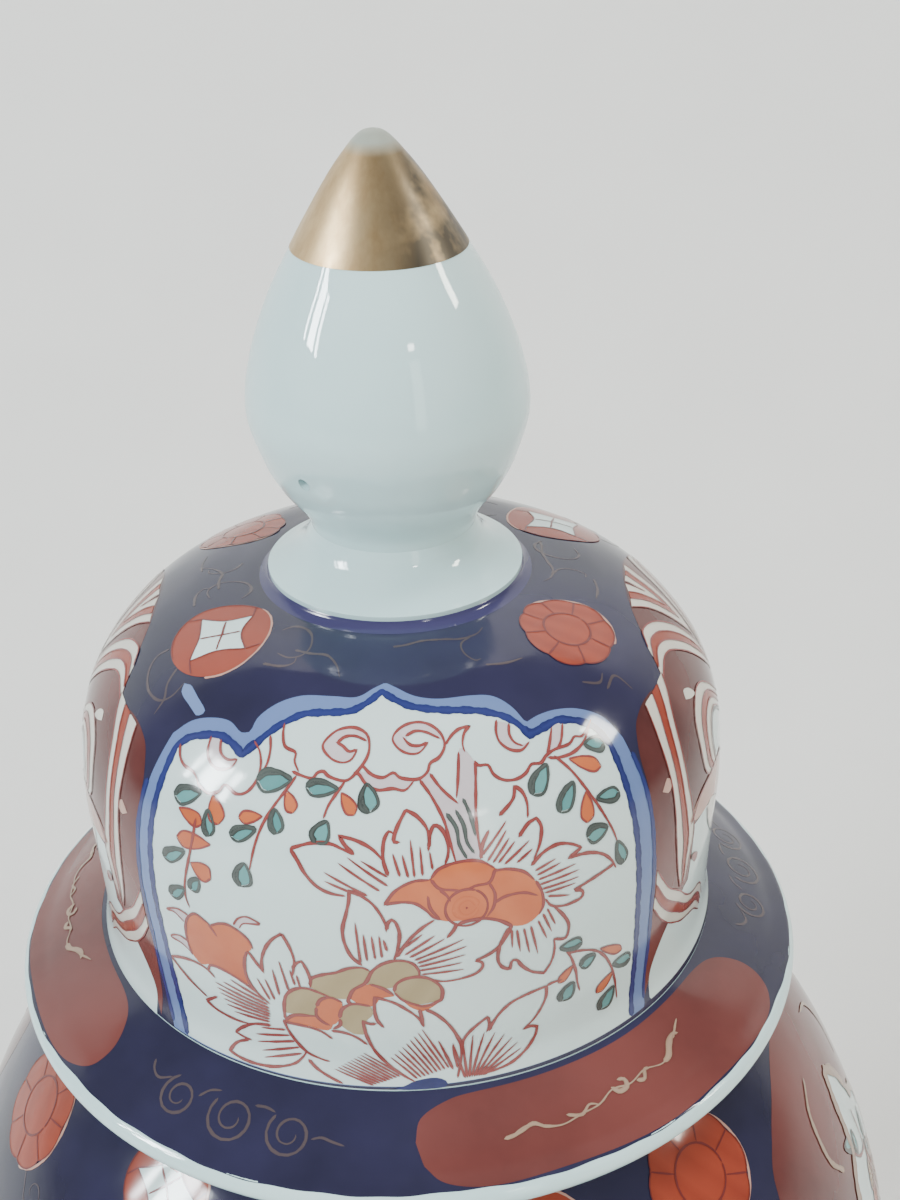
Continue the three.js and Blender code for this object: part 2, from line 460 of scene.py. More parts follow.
def area_of(verts, face):
    """Twice the area of a triangle."""
    a, b, c = (verts[k] for k in face[:3])
    return abs((b[0] - a[0]) * (c[1] - a[1]) - (c[0] - a[0]) * (b[1] - a[1]))


def facing_out(points, normals, faces):
    """The faces, each turned so that its front looks out of the wall."""
    turned_faces = []
    for face in faces:
        a, b, c = (points[k] for k in face[:3])
        front = np.cross(b - a, c - a)
        outward = front @ normals[face[0]]
        turned_faces.append(face if outward > 0 else face[::-1])
    return turned_faces


class Canvas:
    """A wall being decorated, with the place where the next motif goes."""

    def __init__(self, title, wall, body, gap):
        self.title, self.wall, self.body, self.gap = title, wall, body, gap
        self.films = {}
        self.move()

    def move(self, x=0.0, y=0.0, turn=0.0, size=1.0, flip=1, stretch=1.0, pen=None):
        self.origin = np.array([x, y])
        c, s = math.cos(math.radians(turn)), math.sin(math.radians(turn))
        squeeze = np.diag([stretch, 1.0])
        self.matrix = squeeze @ np.array([[c, -s], [s, c]]) @ np.diag([flip * size, size])
        self.scale = pen or size

    def spot(self, x, y, **how):
        """Moves to a place near the crown, where the unrolled wall is stretched sideways."""
        self.move(x, y, stretch=self.wall.reference / self.wall.radius(y), **how)

    def film(self, name):
        """This wall's film of a pigment, begun when it is first needed."""
        return self.films.setdefault(name, Film(self, name))

    def curve(self, shape):
        """A shape, written as for path() or as points, put where the next motif goes."""
        drawn = joined(path(shape)) if isinstance(shape, str) else np.asarray(shape)
        return drawn @ self.matrix.T + self.origin

    def line(self, name, shape, width, blunt=0.55):
        self.film(name).stroke(self.curve(shape), width * self.scale, blunt)

    def area(self, name, shape, coat, fade=None):
        self.film(name).fill(self.curve(shape), coat, fade)

    def finish(self):
        for name in PIGMENTS:
            if name in self.films:
                self.films[name].build()


# ---------------------------------------------------------------- motifs

def leaf(c, x, y, length, width, turn, fill="turquoise", open_side=False):
    """A small dabbed leaf: a drop of enamel in a black outline that is heavy on one side."""
    back, tip = (-0.5, 0.0), (0.5, 0.0)
    upper = smooth([back, (-0.28, 0.42), (0.12, 0.34), tip], 8)
    lower = smooth([tip, (0.12, -0.36), (-0.28, -0.44), back], 8)
    size = np.array([length, width])
    turn = turn + hand.uniform(-4, 4)
    a = math.radians(turn)
    spin = np.array([[math.cos(a), -math.sin(a)], [math.sin(a), math.cos(a)]])

    def laid(curve, grow=1.0):
        return (curve * size * grow) @ spin.T + (x, y)

    drop = np.vstack([upper[:-1], lower[:-1]])
    if fill == "turquoise":
        c.area("turquoise", laid(drop, 0.86), coat=hand.uniform(0.1, 0.75))
        c.line("black_line", laid(upper), 0.85, 0.8)
        c.line("black_line", laid(lower), 0.5, 0.7)
        if not open_side:
            shade = smooth([(-0.48, 0.02), (-0.2, 0.3), (0.2, 0.24)], 6)
            c.line("black_line", laid(shade), 0.7, 0.4)
    else:
        c.area("orange", laid(drop, 0.95), coat=hand.uniform(0.35, 0.7))
        c.line("red_line", laid(upper), 0.34)
        c.line("red_line", laid(lower), 0.3)


def veins(c, flicks, width):
    """Straight red flicks of the brush, "x,y x,y" with a slash between, heavier where they land."""
    for flick in flicks.split("/"):
        c.line("red_line", flick, width, 0.3)


def lobed_panel(c):
    """The floral panel's frame: a light band, dark lines beside it and a white reserve."""
    inner = (
        "-40,0.6 -41.4,5 -42.2,10 -42.7,15 -43.1,20 -43.4,27 -43.6,36 -43.3,46 -42.9,53.6"
        " | -41,55.6 -38.2,56.9 -35.2,57.7 -32,57.3 -29.2,56.1"
        " | -27.6,57.8 -25.8,60.1 -23,62.6 -19.6,64.4 -15,65.1 -10.5,65.7 -7.4,67.2 -4.3,69.3"
        " | -2,68.1 2,66.5 8,65.4 14.5,64.5 19,63 21.8,61.1 23.4,58.6"
        " | 26.4,59 30,59.3 33.6,58.1 36.4,56 37.7,52.6"
        " | 37.7,44 38,35 38.3,26 38.8,18 38.9,9 38.3,1"
    )
    outer = (
        "-43.2,0.4 -44.9,5 -45.9,12 -46.3,20 -46.6,28 -46.5,38 -46.1,46 -45,55"
        " | -42.4,58 -38.7,59.7 -34.6,60.3 -31.2,59.2"
        " | -29.4,59.8 -29,62.4 -26.2,65.4 -21.6,67.4 -15,68 -9.8,68.2 -6.3,69.9 -3.6,71"
        " | -1,70 3,68.3 8,67.4 15,67.1 19.6,66.2 22.4,63.8 23.8,60.6"
        " | 27,61.1 31,60.9 35.4,59.6 39.2,56.8 40.9,52.6"
        " | 41.2,44 41.5,35 41.8,26 42.1,18 42.1,9 41.6,1"
    )
    c.area("sky", outer, coat=0.5)
    c.area("reserve", inner, coat=0.5)
    c.line("navy", inner, 1.3, 0.9)
    c.line("navy", "-46.4,47 -46.8,38 -46.9,28 -46.5,19 -45.9,11 -44.9,5 -43.4,1.4", 1.0, 0.9)
    c.line("navy", "41.3,50 41.6,42 41.8,33 42,24 42.3,15 42,8 41.6,2.5", 0.9, 0.7)
    c.area("sky", "-49.9,62.2 -48.8,60.8 -45,59.8 -41.9,58.9 | -40.8,60.2 -44.6,61.6 -48,62.6", coat=0.1)
    c.line("navy", "-29.3,56 -28.2,57.4 -27.2,58.6", 1.6, 0.8)
    c.line("navy", "22.9,60.2 23.4,59 24.8,58.8 26.4,59", 1.5, 0.6)


def clouds(c):
    """Scrolled clouds along the top of the floral panel, over the ends of a hatched branch."""
    for shade in (
        "-36.4,57 -36,54.9 -34.4,53.4 -32.3,53.1 -30.4,53.9 -29.8,55.2 -31.6,54.8 -33.4,55.5 -34.4,57.3",
        "-6.2,60.2 -6.7,61.8 -8.4,62.8 -10.6,62.9 -13,62 -14.6,59.8 -13,58.1 -10.9,57.5 -9.2,58 -8.3,59.6"
        " -9.7,59.2 -11,60 -11.9,60.6 -10.6,61.4 -8.6,61.5 -7,61",
        "7.4,60.4 7.1,61.6 5.6,63 3.4,63.7 1,63.5 -0.9,62.6 -1.9,61.2 -0.8,59.7 1,58.9 2.9,59 4.6,60.4"
        " 2.8,60 1.2,60.4 0.6,61.4 2.4,62.3 4.4,62 6.6,61",
        "18.3,62 17.5,60.4 17.7,58.7 19,57.3 21,56.8 22.8,57.6 21.2,57.6 20.1,58.4 19.8,59.6 20.4,61.3",
        "25.4,55 26.7,56.8 28.2,58.6 30.4,58.6 28.8,56.3 27.5,55.2",
        "-7.6,56.4 -6.4,54.6 -4.4,53.7 -2,53.9 0,53.6 1.6,54.8 0,55.4 -1.4,56.1 -3.4,55.5 -5.4,56",
    ):
        c.area("ash", shade, coat=0.35)
    c.area("ash", "2.6,55 4.3,56 6,53.6 8.4,51 | 9.8,58.4 11,58.6 12.3,56.6 | 11.2,52 10.8,47 11,42.6"
           " | 9,42.8 7,42.6 | 6.5,46 5.4,50 4,53", coat=0.55)
    for outline in (
        "-42.2,54.2 -41.2,52.6 -39.6,51.6 -37.4,51.3 -36.2,50.6 -35.4,49.7",
        "-35.9,50 -33.4,49.2 -31.4,49.9 -30.5,51.2 -28.2,50.4 -26.4,51 -25.2,52.8 -25,55 -26,57.2"
        " -27.8,58.6",
        "-36.6,57.2 -36,54.9 -34.4,53.4 -32.3,53.1 -30.4,53.9 -29.7,55.3",
        "-34.4,57.3 -33.4,55.5 -31.6,54.8 -29.7,55.3",
        "-25.1,60 -24.2,58 -24,56 -24.4,54.6",
        "-23.2,62.3 -22.7,60.5 -21.6,58.8 -19.4,58.2 -19.2,56.9 -18,55.4",
        "-19.3,55.4 -17.5,55 -15.5,54.8 -14.9,55.6 -13.8,56 -12.6,55.3 -9.8,54.9 -8,56.3 -6.5,58.3"
        " -6.1,60"
        " -6.6,61.8 -8.4,62.8 -10.6,62.9 -13,62 -14.7,59.8 -13,58.1 -10.9,57.5 -9.2,58 -8.2,59.7",
        "-8.3,59.6 -9.7,59.2 -11,60 -12.4,60.5",
        "-12.2,60.3 -10.8,61.4 -8.8,61.6 -6.6,60.9",
        "-8.6,56.2 -7.6,55.9 -6.4,54.6 -4.4,53.7 -2,53.9 0,53.6 1.6,54.9",
        "-7.4,57.5 -5.6,56 -3.6,55.5 -1.8,56.2 -0.6,55.4 2.2,55.1 3.9,56 4.6,57.3 6.2,58 7.5,59.6"
        " 7.2,61.5"
        " 5.6,63 3.4,63.7 1,63.5 -0.9,62.6 -1.9,61.2 -0.8,59.7 1,58.9 2.9,59 4.7,60.5",
        "4.6,60.4 2.8,60 1.2,60.3 0,61.5",
        "0.5,61.6 2.4,62.3 4.4,62 6.9,60.8",
        "7.6,59.7 9,61 10.8,61.9 13,62.1 | 11.6,61.2 10.8,59.6 10.9,58.2",
        "2.5,55 4.2,52.5 5.8,49 6.5,45.5 7.1,42.5",
        "4.3,55.8 6,53.4 8.4,51",
        "9.8,58.5 9,55 8.2,51.8",
        "12.4,56.8 11.6,53 10.9,49 10.8,45.4 11.1,42.6",
        "12.2,56.8 12.8,56 14.4,55.8 15,54.3 16.5,53.2 18.6,52.9 20.5,53.4 21.9,54.4 23.6,54.2 25.1,55"
        " 27,55.4 30,55.4 31.6,56.1 33,55.7 35,56.5 36.6,57.4",
        "18.4,62.2 17.5,60.4 17.6,58.7 19,57.3 21,56.8 23,57.7",
        "20.5,61.2 19.8,59.6 20.2,58.2 21.6,57.3",
        "25.2,54.9 26.7,56.8 28.2,58.7",
        "27.4,55.2 28.8,56.3 30.6,58.6",
        "25.2,54.6 27,54.1 30,54 33,54.9 35.6,56.8",
    ):
        c.line("red_line", outline, 0.52)
    for hatch in ("6.3,49.9 7.6,47.6 7.8,45.2 8.8,42.9", "7.8,50.2 8.8,47.8 9,45.4 10,43.5",
                  "9.2,51.7 10,49.2 10.4,46"):
        c.line("black_line", hatch, 0.62, 0.6)


def hanging_sprigs(c):
    """Trailing sprays of small leaves at the panel's edges."""
    for stem in (
        "-34.4,45 -34.6,41 -35.2,37.6 -36,33.8 -36.1,31 -35.4,29",
        "-18.3,54.9 -19.5,52.8 -21.2,50 -22.6,47 -23.5,43.6 -24.1,39.6",
        "-9.9,54.8 -11.2,52.9 -12.3,51.1 -12.9,49.2",
        "26.4,54.6 28.4,51.8 30,48.4 31.6,44.6 33,41 33.8,38.2",
        "24.2,22.2 25.3,19.9 26.2,17 26.6,14.6 27.2,12.3",
        "24.4,21.4 27,20.8 29.8,19.4 32,16.9 33.6,13.6 34.6,10 35.2,6.4",
    ):
        c.line("red_line", stem, 0.5, 0.5)
    for x, y, length, width, turn in (
        (-37, 47.8, 5.6, 3.0, 24), (-32, 45, 4.2, 2.2, 105), (-38.1, 37.7, 5.4, 2.4, 32),
        (-34, 34, 3.2, 2.1, 60), (-37.7, 31.1, 4.2, 2.2, 38), (-22, 53.6, 6.4, 3.6, 8),
        (-20.5, 47.9, 3.8, 2.4, 108), (-25.6, 45.1, 4.8, 2.3, 26), (-25.2, 38.6, 4.2, 3.2, 84),
        (-13.6, 53.5, 5.6, 2.5, 4), (-5.9, 52.6, 4.4, 3.2, 100), (22.7, 51.9, 5.6, 3.0, 46),
        (26.4, 48.2, 5.4, 2.7, 42), (30.3, 41.3, 4.2, 2.9, 4), (34.3, 36.4, 4.6, 2.2, 106),
        (25, 22.9, 4.2, 2.4, 170), (28.5, 18, 3.2, 2.6, 20), (24.9, 13.3, 3.9, 3.0, 62),
        (35.7, 14.1, 4.2, 2.6, 168), (33, 7.8, 4.6, 3.1, 58),
    ):
        leaf(c, x, y, length, width, turn)
    for x, y, length, width, turn in ((33.6, 46, 4.8, 2.2, 172), (34.6, 53.9, 4.2, 2.4, 160),
                                      (-13, 47.3, 3.8, 3.0, 62)):
        leaf(c, x, y, length, width, turn, open_side=True)
    for x, y, length, width, turn in (
        (-35.6, 44.9, 5.2, 2.5, 170), (-31.2, 47.2, 4.6, 3.2, 118), (-34.4, 41.3, 6.8, 3.0, 12),
        (-32.8, 36.9, 4.2, 3.4, 160), (-18.7, 51, 3.6, 2.3, 118), (-24.8, 47.7, 4.2, 2.1, 16),
        (-9.2, 51.6, 4.0, 2.3, 128), (31.5, 51.9, 6.2, 2.5, 150), (29.3, 45.7, 4.8, 2.7, 74),
        (24.4, 17.1, 3.8, 1.8, 50), (33.1, 17.9, 5.6, 1.9, 152), (32.3, 11.5, 4.6, 2.1, 38),
    ):
        leaf(c, x, y, length, width, turn, fill="orange")


def upper_flower(c):
    """The flower with orange lobes round a pale disc and cut-edged petals."""
    c.area("orange", "-3.6,36.6 -1.6,39.1 1.4,40.2 3.3,40.5 4.6,41.8 7.6,42.5 10.6,42.2 12.7,40.8"
                     " 14.6,40.1"
           " 16.8,39.4 18.5,38 19.2,36.2 20,34 19.8,31.7 17.7,30 15.2,30.2 12.6,31.9 9.8,32.7 7,32.9"
           " 4.8,33.2"
           " 3,34.4 1.8,35.9 -0.6,37", 0.42,
           fade=lambda x, y: 0.45 + 0.75 * abs(math.sin(0.42 * x + 0.3 * y)))
    for petal in (
        "-17.8,44.3 -14.6,45.5 -11.6,45.7 -9.6,45 -7.9,44.3",
        "-7.9,44.4 -9.3,45.6 -10.3,47 | -7.6,46.4 -5.2,45.2 -3.4,43.3",
        "-17.8,44.3 -16.6,42.8 -15.3,40.8 -13.5,39 -11.5,38.1 -9.2,37.8",
        "-2.9,41.2 -3.6,43.6 -3.5,46.3 -2.7,47.8 -2,47.4",
        "-1,46.2 -2,46.4 -1.4,48.4 0,50.8 | 1.7,49.8 3.1,48 3.3,46.2 3.1,44.6",
        "3.2,45 3.6,47.2 4.3,48.3 5.4,47.6 6.1,45.6 6,43.8 5.4,42.4",
        "14.5,48.3 17.2,50.2 18,52 | 19,51 19.4,49.2 19,47",
        "17,44.6 18.8,46.2 20.4,46.7 | 20.9,45.2 20.2,42.8 18.9,40.6",
        "10.8,42.5 11.3,44.6 12.6,46.6",
        "18.4,39.8 20.5,41.3 23,41.9 25.2,41.3 27.2,40",
        "27.2,40.1 24.7,39.2 | 28,38.8 30.6,37.6 32.3,35.8 33.2,33.9",
        "32.9,34.9 30,34.3 27.5,33.8 25.3,33.3 | 26.6,32.8 26.9,31.9 26.3,31.3 | 23.6,31.2 21.4,32"
        " 20.4,33.6",
        "14.7,30.2 13.6,28.3 13,26.3 12.9,24.2 13.6,22.6 14.8,21.8 | 15.1,23.4 15.9,23.4"
        " | 16.8,21.8 18.4,20.1 20.5,19 | 21.7,21 22.1,23.4 21.9,25.6",
        "21.9,25.5 23.2,24.9 24.1,25 24.4,27.2 23.4,29.5 21.6,32",
        "6.8,32.6 6.3,31.4 5.2,30",
        "6.9,32.4 8.8,32.7 11,32.6 13.2,31.7 15,30.3 | 14,28.2 12.6,26.5 10.9,25.5 9.4,25"
        " | 10.4,24.4 10.5,23.4 9.4,22.3 7,21.7 4.6,21.6 2.9,22.2",
    ):
        c.line("red_line", petal, 0.6)
    veins(c, "-6,38 -12.5,41.4/-4.2,38.8 -10.4,43/-3,39.6 -9,43.9/-3,41 -7,43.5/-7,37.9 -12.4,40"
          "/0.9,40.8 0.5,46.6/2.1,41 1.9,45.5/0,40.8 -0.8,44.4/3.6,41.8 3.3,44.6/-1.2,41 -2.2,44.6"
          "/11,43 15.5,47.4/11.8,42 15.3,46.1/12.6,41.6 15.6,44.9/14.3,41 18.7,43.8/16.2,40.8 19,42.4"
          "/13.4,41.4 16.4,44.2/19,38.8 22.6,39.8/19.2,38 23.4,38.9/19.4,37.2 25.9,37.8/19.6,36.3"
          " 26.4,36.6"
          "/19.9,35.4 26.3,35.4/20.3,34.6 25.7,34.5/20.8,33.9 24.7,32.7"
          "/15,29.6 15.1,26/15.8,29.4 16.4,24.8/16.9,29.3 17.9,24.1/18,29.4 19.3,23.4/19.2,30 20.7,26"
          "/20,31 21.5,27/20.7,31.7 22.1,28.2", 0.4)
    for lobe in (
        "-3.7,36.4 -2,38.8 0.6,40.2 3.2,40.3", "3.2,40.4 4.4,38.8 6.4,38.3 8,37.9",
        "3.2,40.4 4.6,41.9 7.6,42.6 10.6,42.3 12.9,40.7", "12.9,40.7 11.9,38.7 9.8,38.5 8,37.9",
        "12.6,40.4 14.8,40.2 17.2,39.2 18.9,37.3", "2.7,37.8 3,35.6 4.4,33.5", "4.4,38.6 5.4,37.6 6,36.4",
        "11.8,38.6 12.6,36.6 12.3,34.4 11.2,32.8", "12.3,35 14.2,35.8 17,35.7 19.3,34.5",
        "19,37.2 19.9,35 20.1,32.6 19.3,31", "-3.7,36.6 -1.2,36.9 0.8,36.6 2.3,35.4 3.4,34 4.6,33.4",
    ):
        c.line("red_line", lobe, 0.5)
    c.line("red_line", arc((8.3, 35), 3.15, 60, 425, 30), 0.42, 0.8)
    c.line("orange", arc((8.3, 35), 1.6, 0, 355, 24), 1.1, 0.8)
    c.area("red_line", arc((8.3, 35), 0.28, 0, 330, 8), 0.8)


def lower_flower(c):
    """The flower with ochre and orange lobes and long striped petals spread below it."""
    for lobe in (
        "-15.6,19.8 -15.2,21.7 -13.4,22.8 -11.4,23.5 -9.4,24.6 -7.4,24.9 -6.2,24 -7,22 -8.8,20 -9.8,18.2"
        " -12.6,18.2",
        "-6.8,21.6 -5.9,24.2 -4.2,25.8 -2,26.4 0,25.8 1,24.2 0.8,22.8 -1,22.4 -2.6,21 -4.6,20.6",
        "-2.8,20 -2.4,21.6 -0.9,22.7 1.3,22.9 3.2,21.9 4.4,20 4.3,18.2 2.4,17.4 0.2,17.3 -1.7,18.4",
        "-20.1,13.4 -20,16.4 -18.6,18.6 -16.1,19.4 -13.7,18.7 -13.6,17.4 -14.9,16 -14.9,14 -17.6,13.6",
        "-11.3,14 -10.8,16.1 -9,17.3 -6.6,17 -6.2,15.2 -7.4,13.6 -7.3,11.2 -9.4,11 -11.2,12.4",
    ):
        c.area("khaki", lobe, 0.5, fade=lambda x, y: 0.5 + 0.8 * abs(math.sin(0.5 * x - 0.4 * y)))
    for lobe in (
        "-15,15.8 -14.2,17.5 -12.5,18.2 -10.8,17.5 -11.2,14.6 -12,12.8 -13.4,12.4 -14.8,14",
        "-20.4,11.5 -18.6,13.3 -15,13.9 -12.6,13.7 -13.2,11.2 -16.5,11.5",
        "-9.8,18.6 -8.6,20.6 -6.4,21.5 -4.4,20.6 -2.7,19.2 -4.9,18.6 -5.9,17 -8,17",
        "-1.6,18.1 0.4,17.1 2.8,17.3 4.4,18 3,16.6 1.4,15.8 -0.4,16.6",
    ):
        c.area("orange", lobe, 0.6)
    for lobe in (
        "-15.6,20 -15.2,21.7 -13.4,22.8 -11.4,23.5 -9.4,24.6 -7.4,24.9 -6.2,24.2",
        "-9.8,18 -8.9,20.2 -7,21.8 -5.9,24.2 -4.2,25.8 -2,26.4 0,25.8 1,24.2 1,22.9",
        "-2.8,20 -2.4,21.6 -0.9,22.7 1.3,22.9 3.2,21.9 4.4,20 4.3,17.9 | 2,16.8 0.2,17.3 -1.7,18.4"
        " -2.8,20",
        "-20.3,12 -20.2,15 -19.6,17.3 -18,18.9 -16,19.4 -13.7,18.7 -12.4,18.2",
        "-14.9,15.8 -15,14 -14,12.8 -12.9,12.3", "-14.9,15.9 -14.1,17.5 -12.5,18.2 -10.7,17.4",
        "-11.4,14 -10.8,16.1 -9,17.3 -6.4,17", "-11.3,14 -11.4,12.6 -12.6,11.6",
        "-6.4,21.6 -4.4,20.7 -2.8,19.3",
        "-20.4,11.6 -18.6,13.3 -15,13.9", "-9.7,18.6 -9.8,17.6 -9,17.2",
    ):
        c.line("red_line", lobe, 0.6)
    for petal in (
        "-23.2,21 -23.1,23.4 -22.3,25.9 -21,28.1 -19.3,29.7 | -18.3,27.6 -17.7,25.2 -17.9,23.2"
        " -18.3,21.4",
        "-18.2,23 -17.4,24.3 -16.5,25 | -15.8,23.2 -15.4,21.2 -15.6,19.6",
        "-25.3,24.6 -24.3,22.9 -22.9,20.7",
        "-25.4,24.5 -26.1,22.5 -26.3,20 -25.8,17.8 -24.5,16 -22.6,14.4",
        "-42,15.8 -39.2,17 -36.4,17.6 -34,17.3 -32.4,16.1",
        "-33.6,17.2 -33,18.5 -31,18.7 -28.5,18.1 -26.6,17.3 -24.4,15.9",
        "-42,15.7 -39.6,13.8 -37.3,12.3 -34.8,11",
        "-32.6,12.1 -34,11 -35.1,10.1 | -33.4,9.2 -31.4,8.8 -29,8.6 -26.8,8.8",
        "-22.9,9.9 -26,9.1 -28.3,7.5 -29.8,5.9 | -28,5.5 -26.7,5.4",
        "-27.2,5.4 -29.6,3.9 -31,1.8 | -28.8,1.3 -26,1.2"
        " -22.6,1.7 -19.5,3 -17.9,4.7 -17.1,6.2",
        "-20.6,11.9 -20,9.8 -18.7,7.6 -17,5.8 -14.6,4.9 -13.4,4.7",
        "-20.3,11.4 -17,11.3 -14.6,10.8 -12.7,9.4", "-12.9,11.2 -11,11.1 -9,10.3 -7.3,8.8",
        "-17,4.5 -15.6,3 -13.5,1.8 -11.4,0.9",
        "-4.6,12.5 -5.6,14.2 -5.9,16.6 -5.7,18.9 | -3,17.8 -1.2,16.4 0.6,14.5 1.5,12.4",
        "0.9,16.3 1.2,14.4 1.5,12.4", "1.7,16.2 3.4,14.9 5.2,12.6 6.5,10 7.2,7.5 7,4.5 6.4,1.6",
        "-5.7,13.4 -6.8,13.3 -7.8,13.8 | -7.6,12 -7.2,10.2 -6.2,7.6 -4.4,5.1 -2.2,3 -0.2,1.6",
        "7.1,7 7.6,9 8.6,10.5 10.2,12 11.4,12.9 | 11.6,11.6 11.4,10.2 11.1,9.6",
        "11.6,9.8 12,11 13.2,13 15.2,14.8 18,15.7 21,16.1 | 21,14 20.3,12 19,10 17.2,8.4",
        "17.1,8.4 18.4,8.7 19.6,8.2 | 19.3,6.5 17.8,4.3 15.3,2.6 12.6,1.9 10.4,1.7",
        "21,16.2 22.4,16.4 23.8,16.3",
        "-7.3,25.3 -8.8,27 -9.7,29.5 -9.9,32 -9.3,34.6 -8.8,37 -8.7,38.7 | -7,38 -5.4,36.7 -4.3,35"
        " -3.6,33.2 -3.5,31.7",
        "-3.5,32 -3.2,33.4 -2.6,34 | -2,33.2 -1.6,31.3 -1.9,29 -2.6,26.4",
        "-2.2,27 -0.6,29.8 1.6,32.2 3.6,33.6",
    ):
        c.line("red_line", petal, 0.58)
    veins(c, "-22.5,15.3 -24.4,19.3/-21.7,15.6 -23,19.6/-20.8,16.8 -21.5,22.1/-19.2,18.3 -20.2,24.1"
          "/-18,19.6 -18.6,22.7/-17.2,19.2 -17.6,21.9/-7.5,25.8 -8,33.4/-6.5,26.2 -6.9,31.4/-5.3,26.6"
          " -5.7,31.1"
          "/-4.3,26.9 -4.6,31.1/-3.5,28.2 -4,30.4/-1.5,28.4 1.8,31.2/-1,27.4 3.6,30.8/-0.3,26.9 5,30"
          "/0.4,26.3 7.8,29.5/0.8,25.7 8.2,28.1/1,25 8,26.5/1.1,24.2 7.5,25/1.4,23.4 7.8,23.6", 0.42)
    veins(c, "-23.3,14.9 -29.5,17.1/-23,14.2 -31,16/-22.8,13.5 -32.6,15.2/-22.7,12.9 -32.4,14.2"
          "/-22.7,12.3 -32,13.3/-22.8,11.8 -31.4,12.3/-22.9,11.2 -30.9,11.3/-23,10.6 -29.6,10.3"
          "/-20.4,9.7 -24.8,8.8/-19.8,8.7 -26,7/-19,7.7 -25.8,5.5/-18.3,6.6 -25,4/-18,5.4 -24.6,2.8", 0.48)
    for k in range(10):
        across = k / 9
        root = (-6.6 + 4.6 * across, 1 + 1.8 * across)
        tip = (-12.8 + 4.7 * across, 3.4 + 3.7 * across)
        c.line("red_line", [root, tip], 0.36, 0.3)
    for k in range(9):
        across = k / 8
        root = (0.2 + 4.9 * across, 2.1 + 1.5 * across)
        tip = (-3.9 + 5 * across, 6.4 + 5.7 * across)
        c.line("red_line", [root, tip], 0.36, 0.3)
    for k in range(9):
        spread = math.radians(104 - 9.6 * k)
        reach = 7.4 + 1.4 * math.sin(math.pi * k / 8)
        root = (7.6 + 0.35 * k, 1.4)
        tip = (7.6 + 0.35 * k + reach * math.cos(spread), 1.4 + reach * math.sin(spread))
        c.line("red_line", [root, tip], 0.42, 0.25)
    veins(c, "5.8,3.2 3.6,9.4/6.5,3.4 5.8,8.2", 0.5)


def flower_bud(c):
    """The orange fruit-like bud with curled sepals."""
    c.area("orange", "-36.9,25.6 -35.8,27.3 -34.3,28.3 -32.8,27.8 -31.6,27.2 -30,28.3 -28.3,28.7 -26.3,28"
           " -24.9,26.8 -24.4,25.2 | -25.4,24.2 -26.2,22 -26.2,19.6 -25.3,17.2 | -28.5,17.9 -31,18.7"
           " -33.2,18.6"
           " -34.8,17.8 -36.3,18.8 -37,21 -37.1,23.5", 0.55, fade=lambda x, y: 1.55 - 0.07 * (y - 18))
    for sepal in (
        "-36,27.3 -38,27.6 -39.7,27 -40.8,26.2 -39,26.5 -37,25.4",
        "-37,21.5 -38.7,21.8 -40.3,21.2 -41,20.4 -38.6,20.3 -36.6,19.3",
        "-27.3,29 -26.4,30.5 -24.8,31.3 -22.7,30.6 -24.2,30.2 -25.6,29.8 -26.4,28.6",
    ):
        c.area("ash", sepal, 0.4)
        c.line("red_line", sepal, 0.36)
    c.line("red_line", "-36.6,18.9 -37.1,21.4 -37.1,24 -36.3,26.6 -34.6,28.3 -32.8,27.8 -31.6,27.2", 0.55)
    c.line("red_line", "-31.7,27.2 -30,28.3 -28.3,28.7 -26.3,28 -24.9,26.8 -24.3,25.2", 0.5)
    c.line("red_line", "-32.2,27.6 -31.4,26.6 -30.6,25.4", 0.45)


def floral_panel(c):
    """The large white panel of flowers, clouds and hanging sprigs."""
    lobed_panel(c)
    clouds(c)
    hanging_sprigs(c)
    upper_flower(c)
    lower_flower(c)
    flower_bud(c)


def ribbon(c, outer, inner):
    """A band between two edges: cream, orange and cream stripes, each edged in red."""
    outer, inner = (spaced(joined(path(edge)), 26) for edge in (outer, inner))
    edges = [outer + (inner - outer) * part for part in (0, 0.36, 0.66, 1)]
    for name, one, other in zip(("cream", "tile_orange", "cream"), edges, edges[1:]):
        c.area(name, [*one, *other[::-1]], 0.5)
    for edge in edges:
        c.line("red_line", edge, 0.3, 0.85)


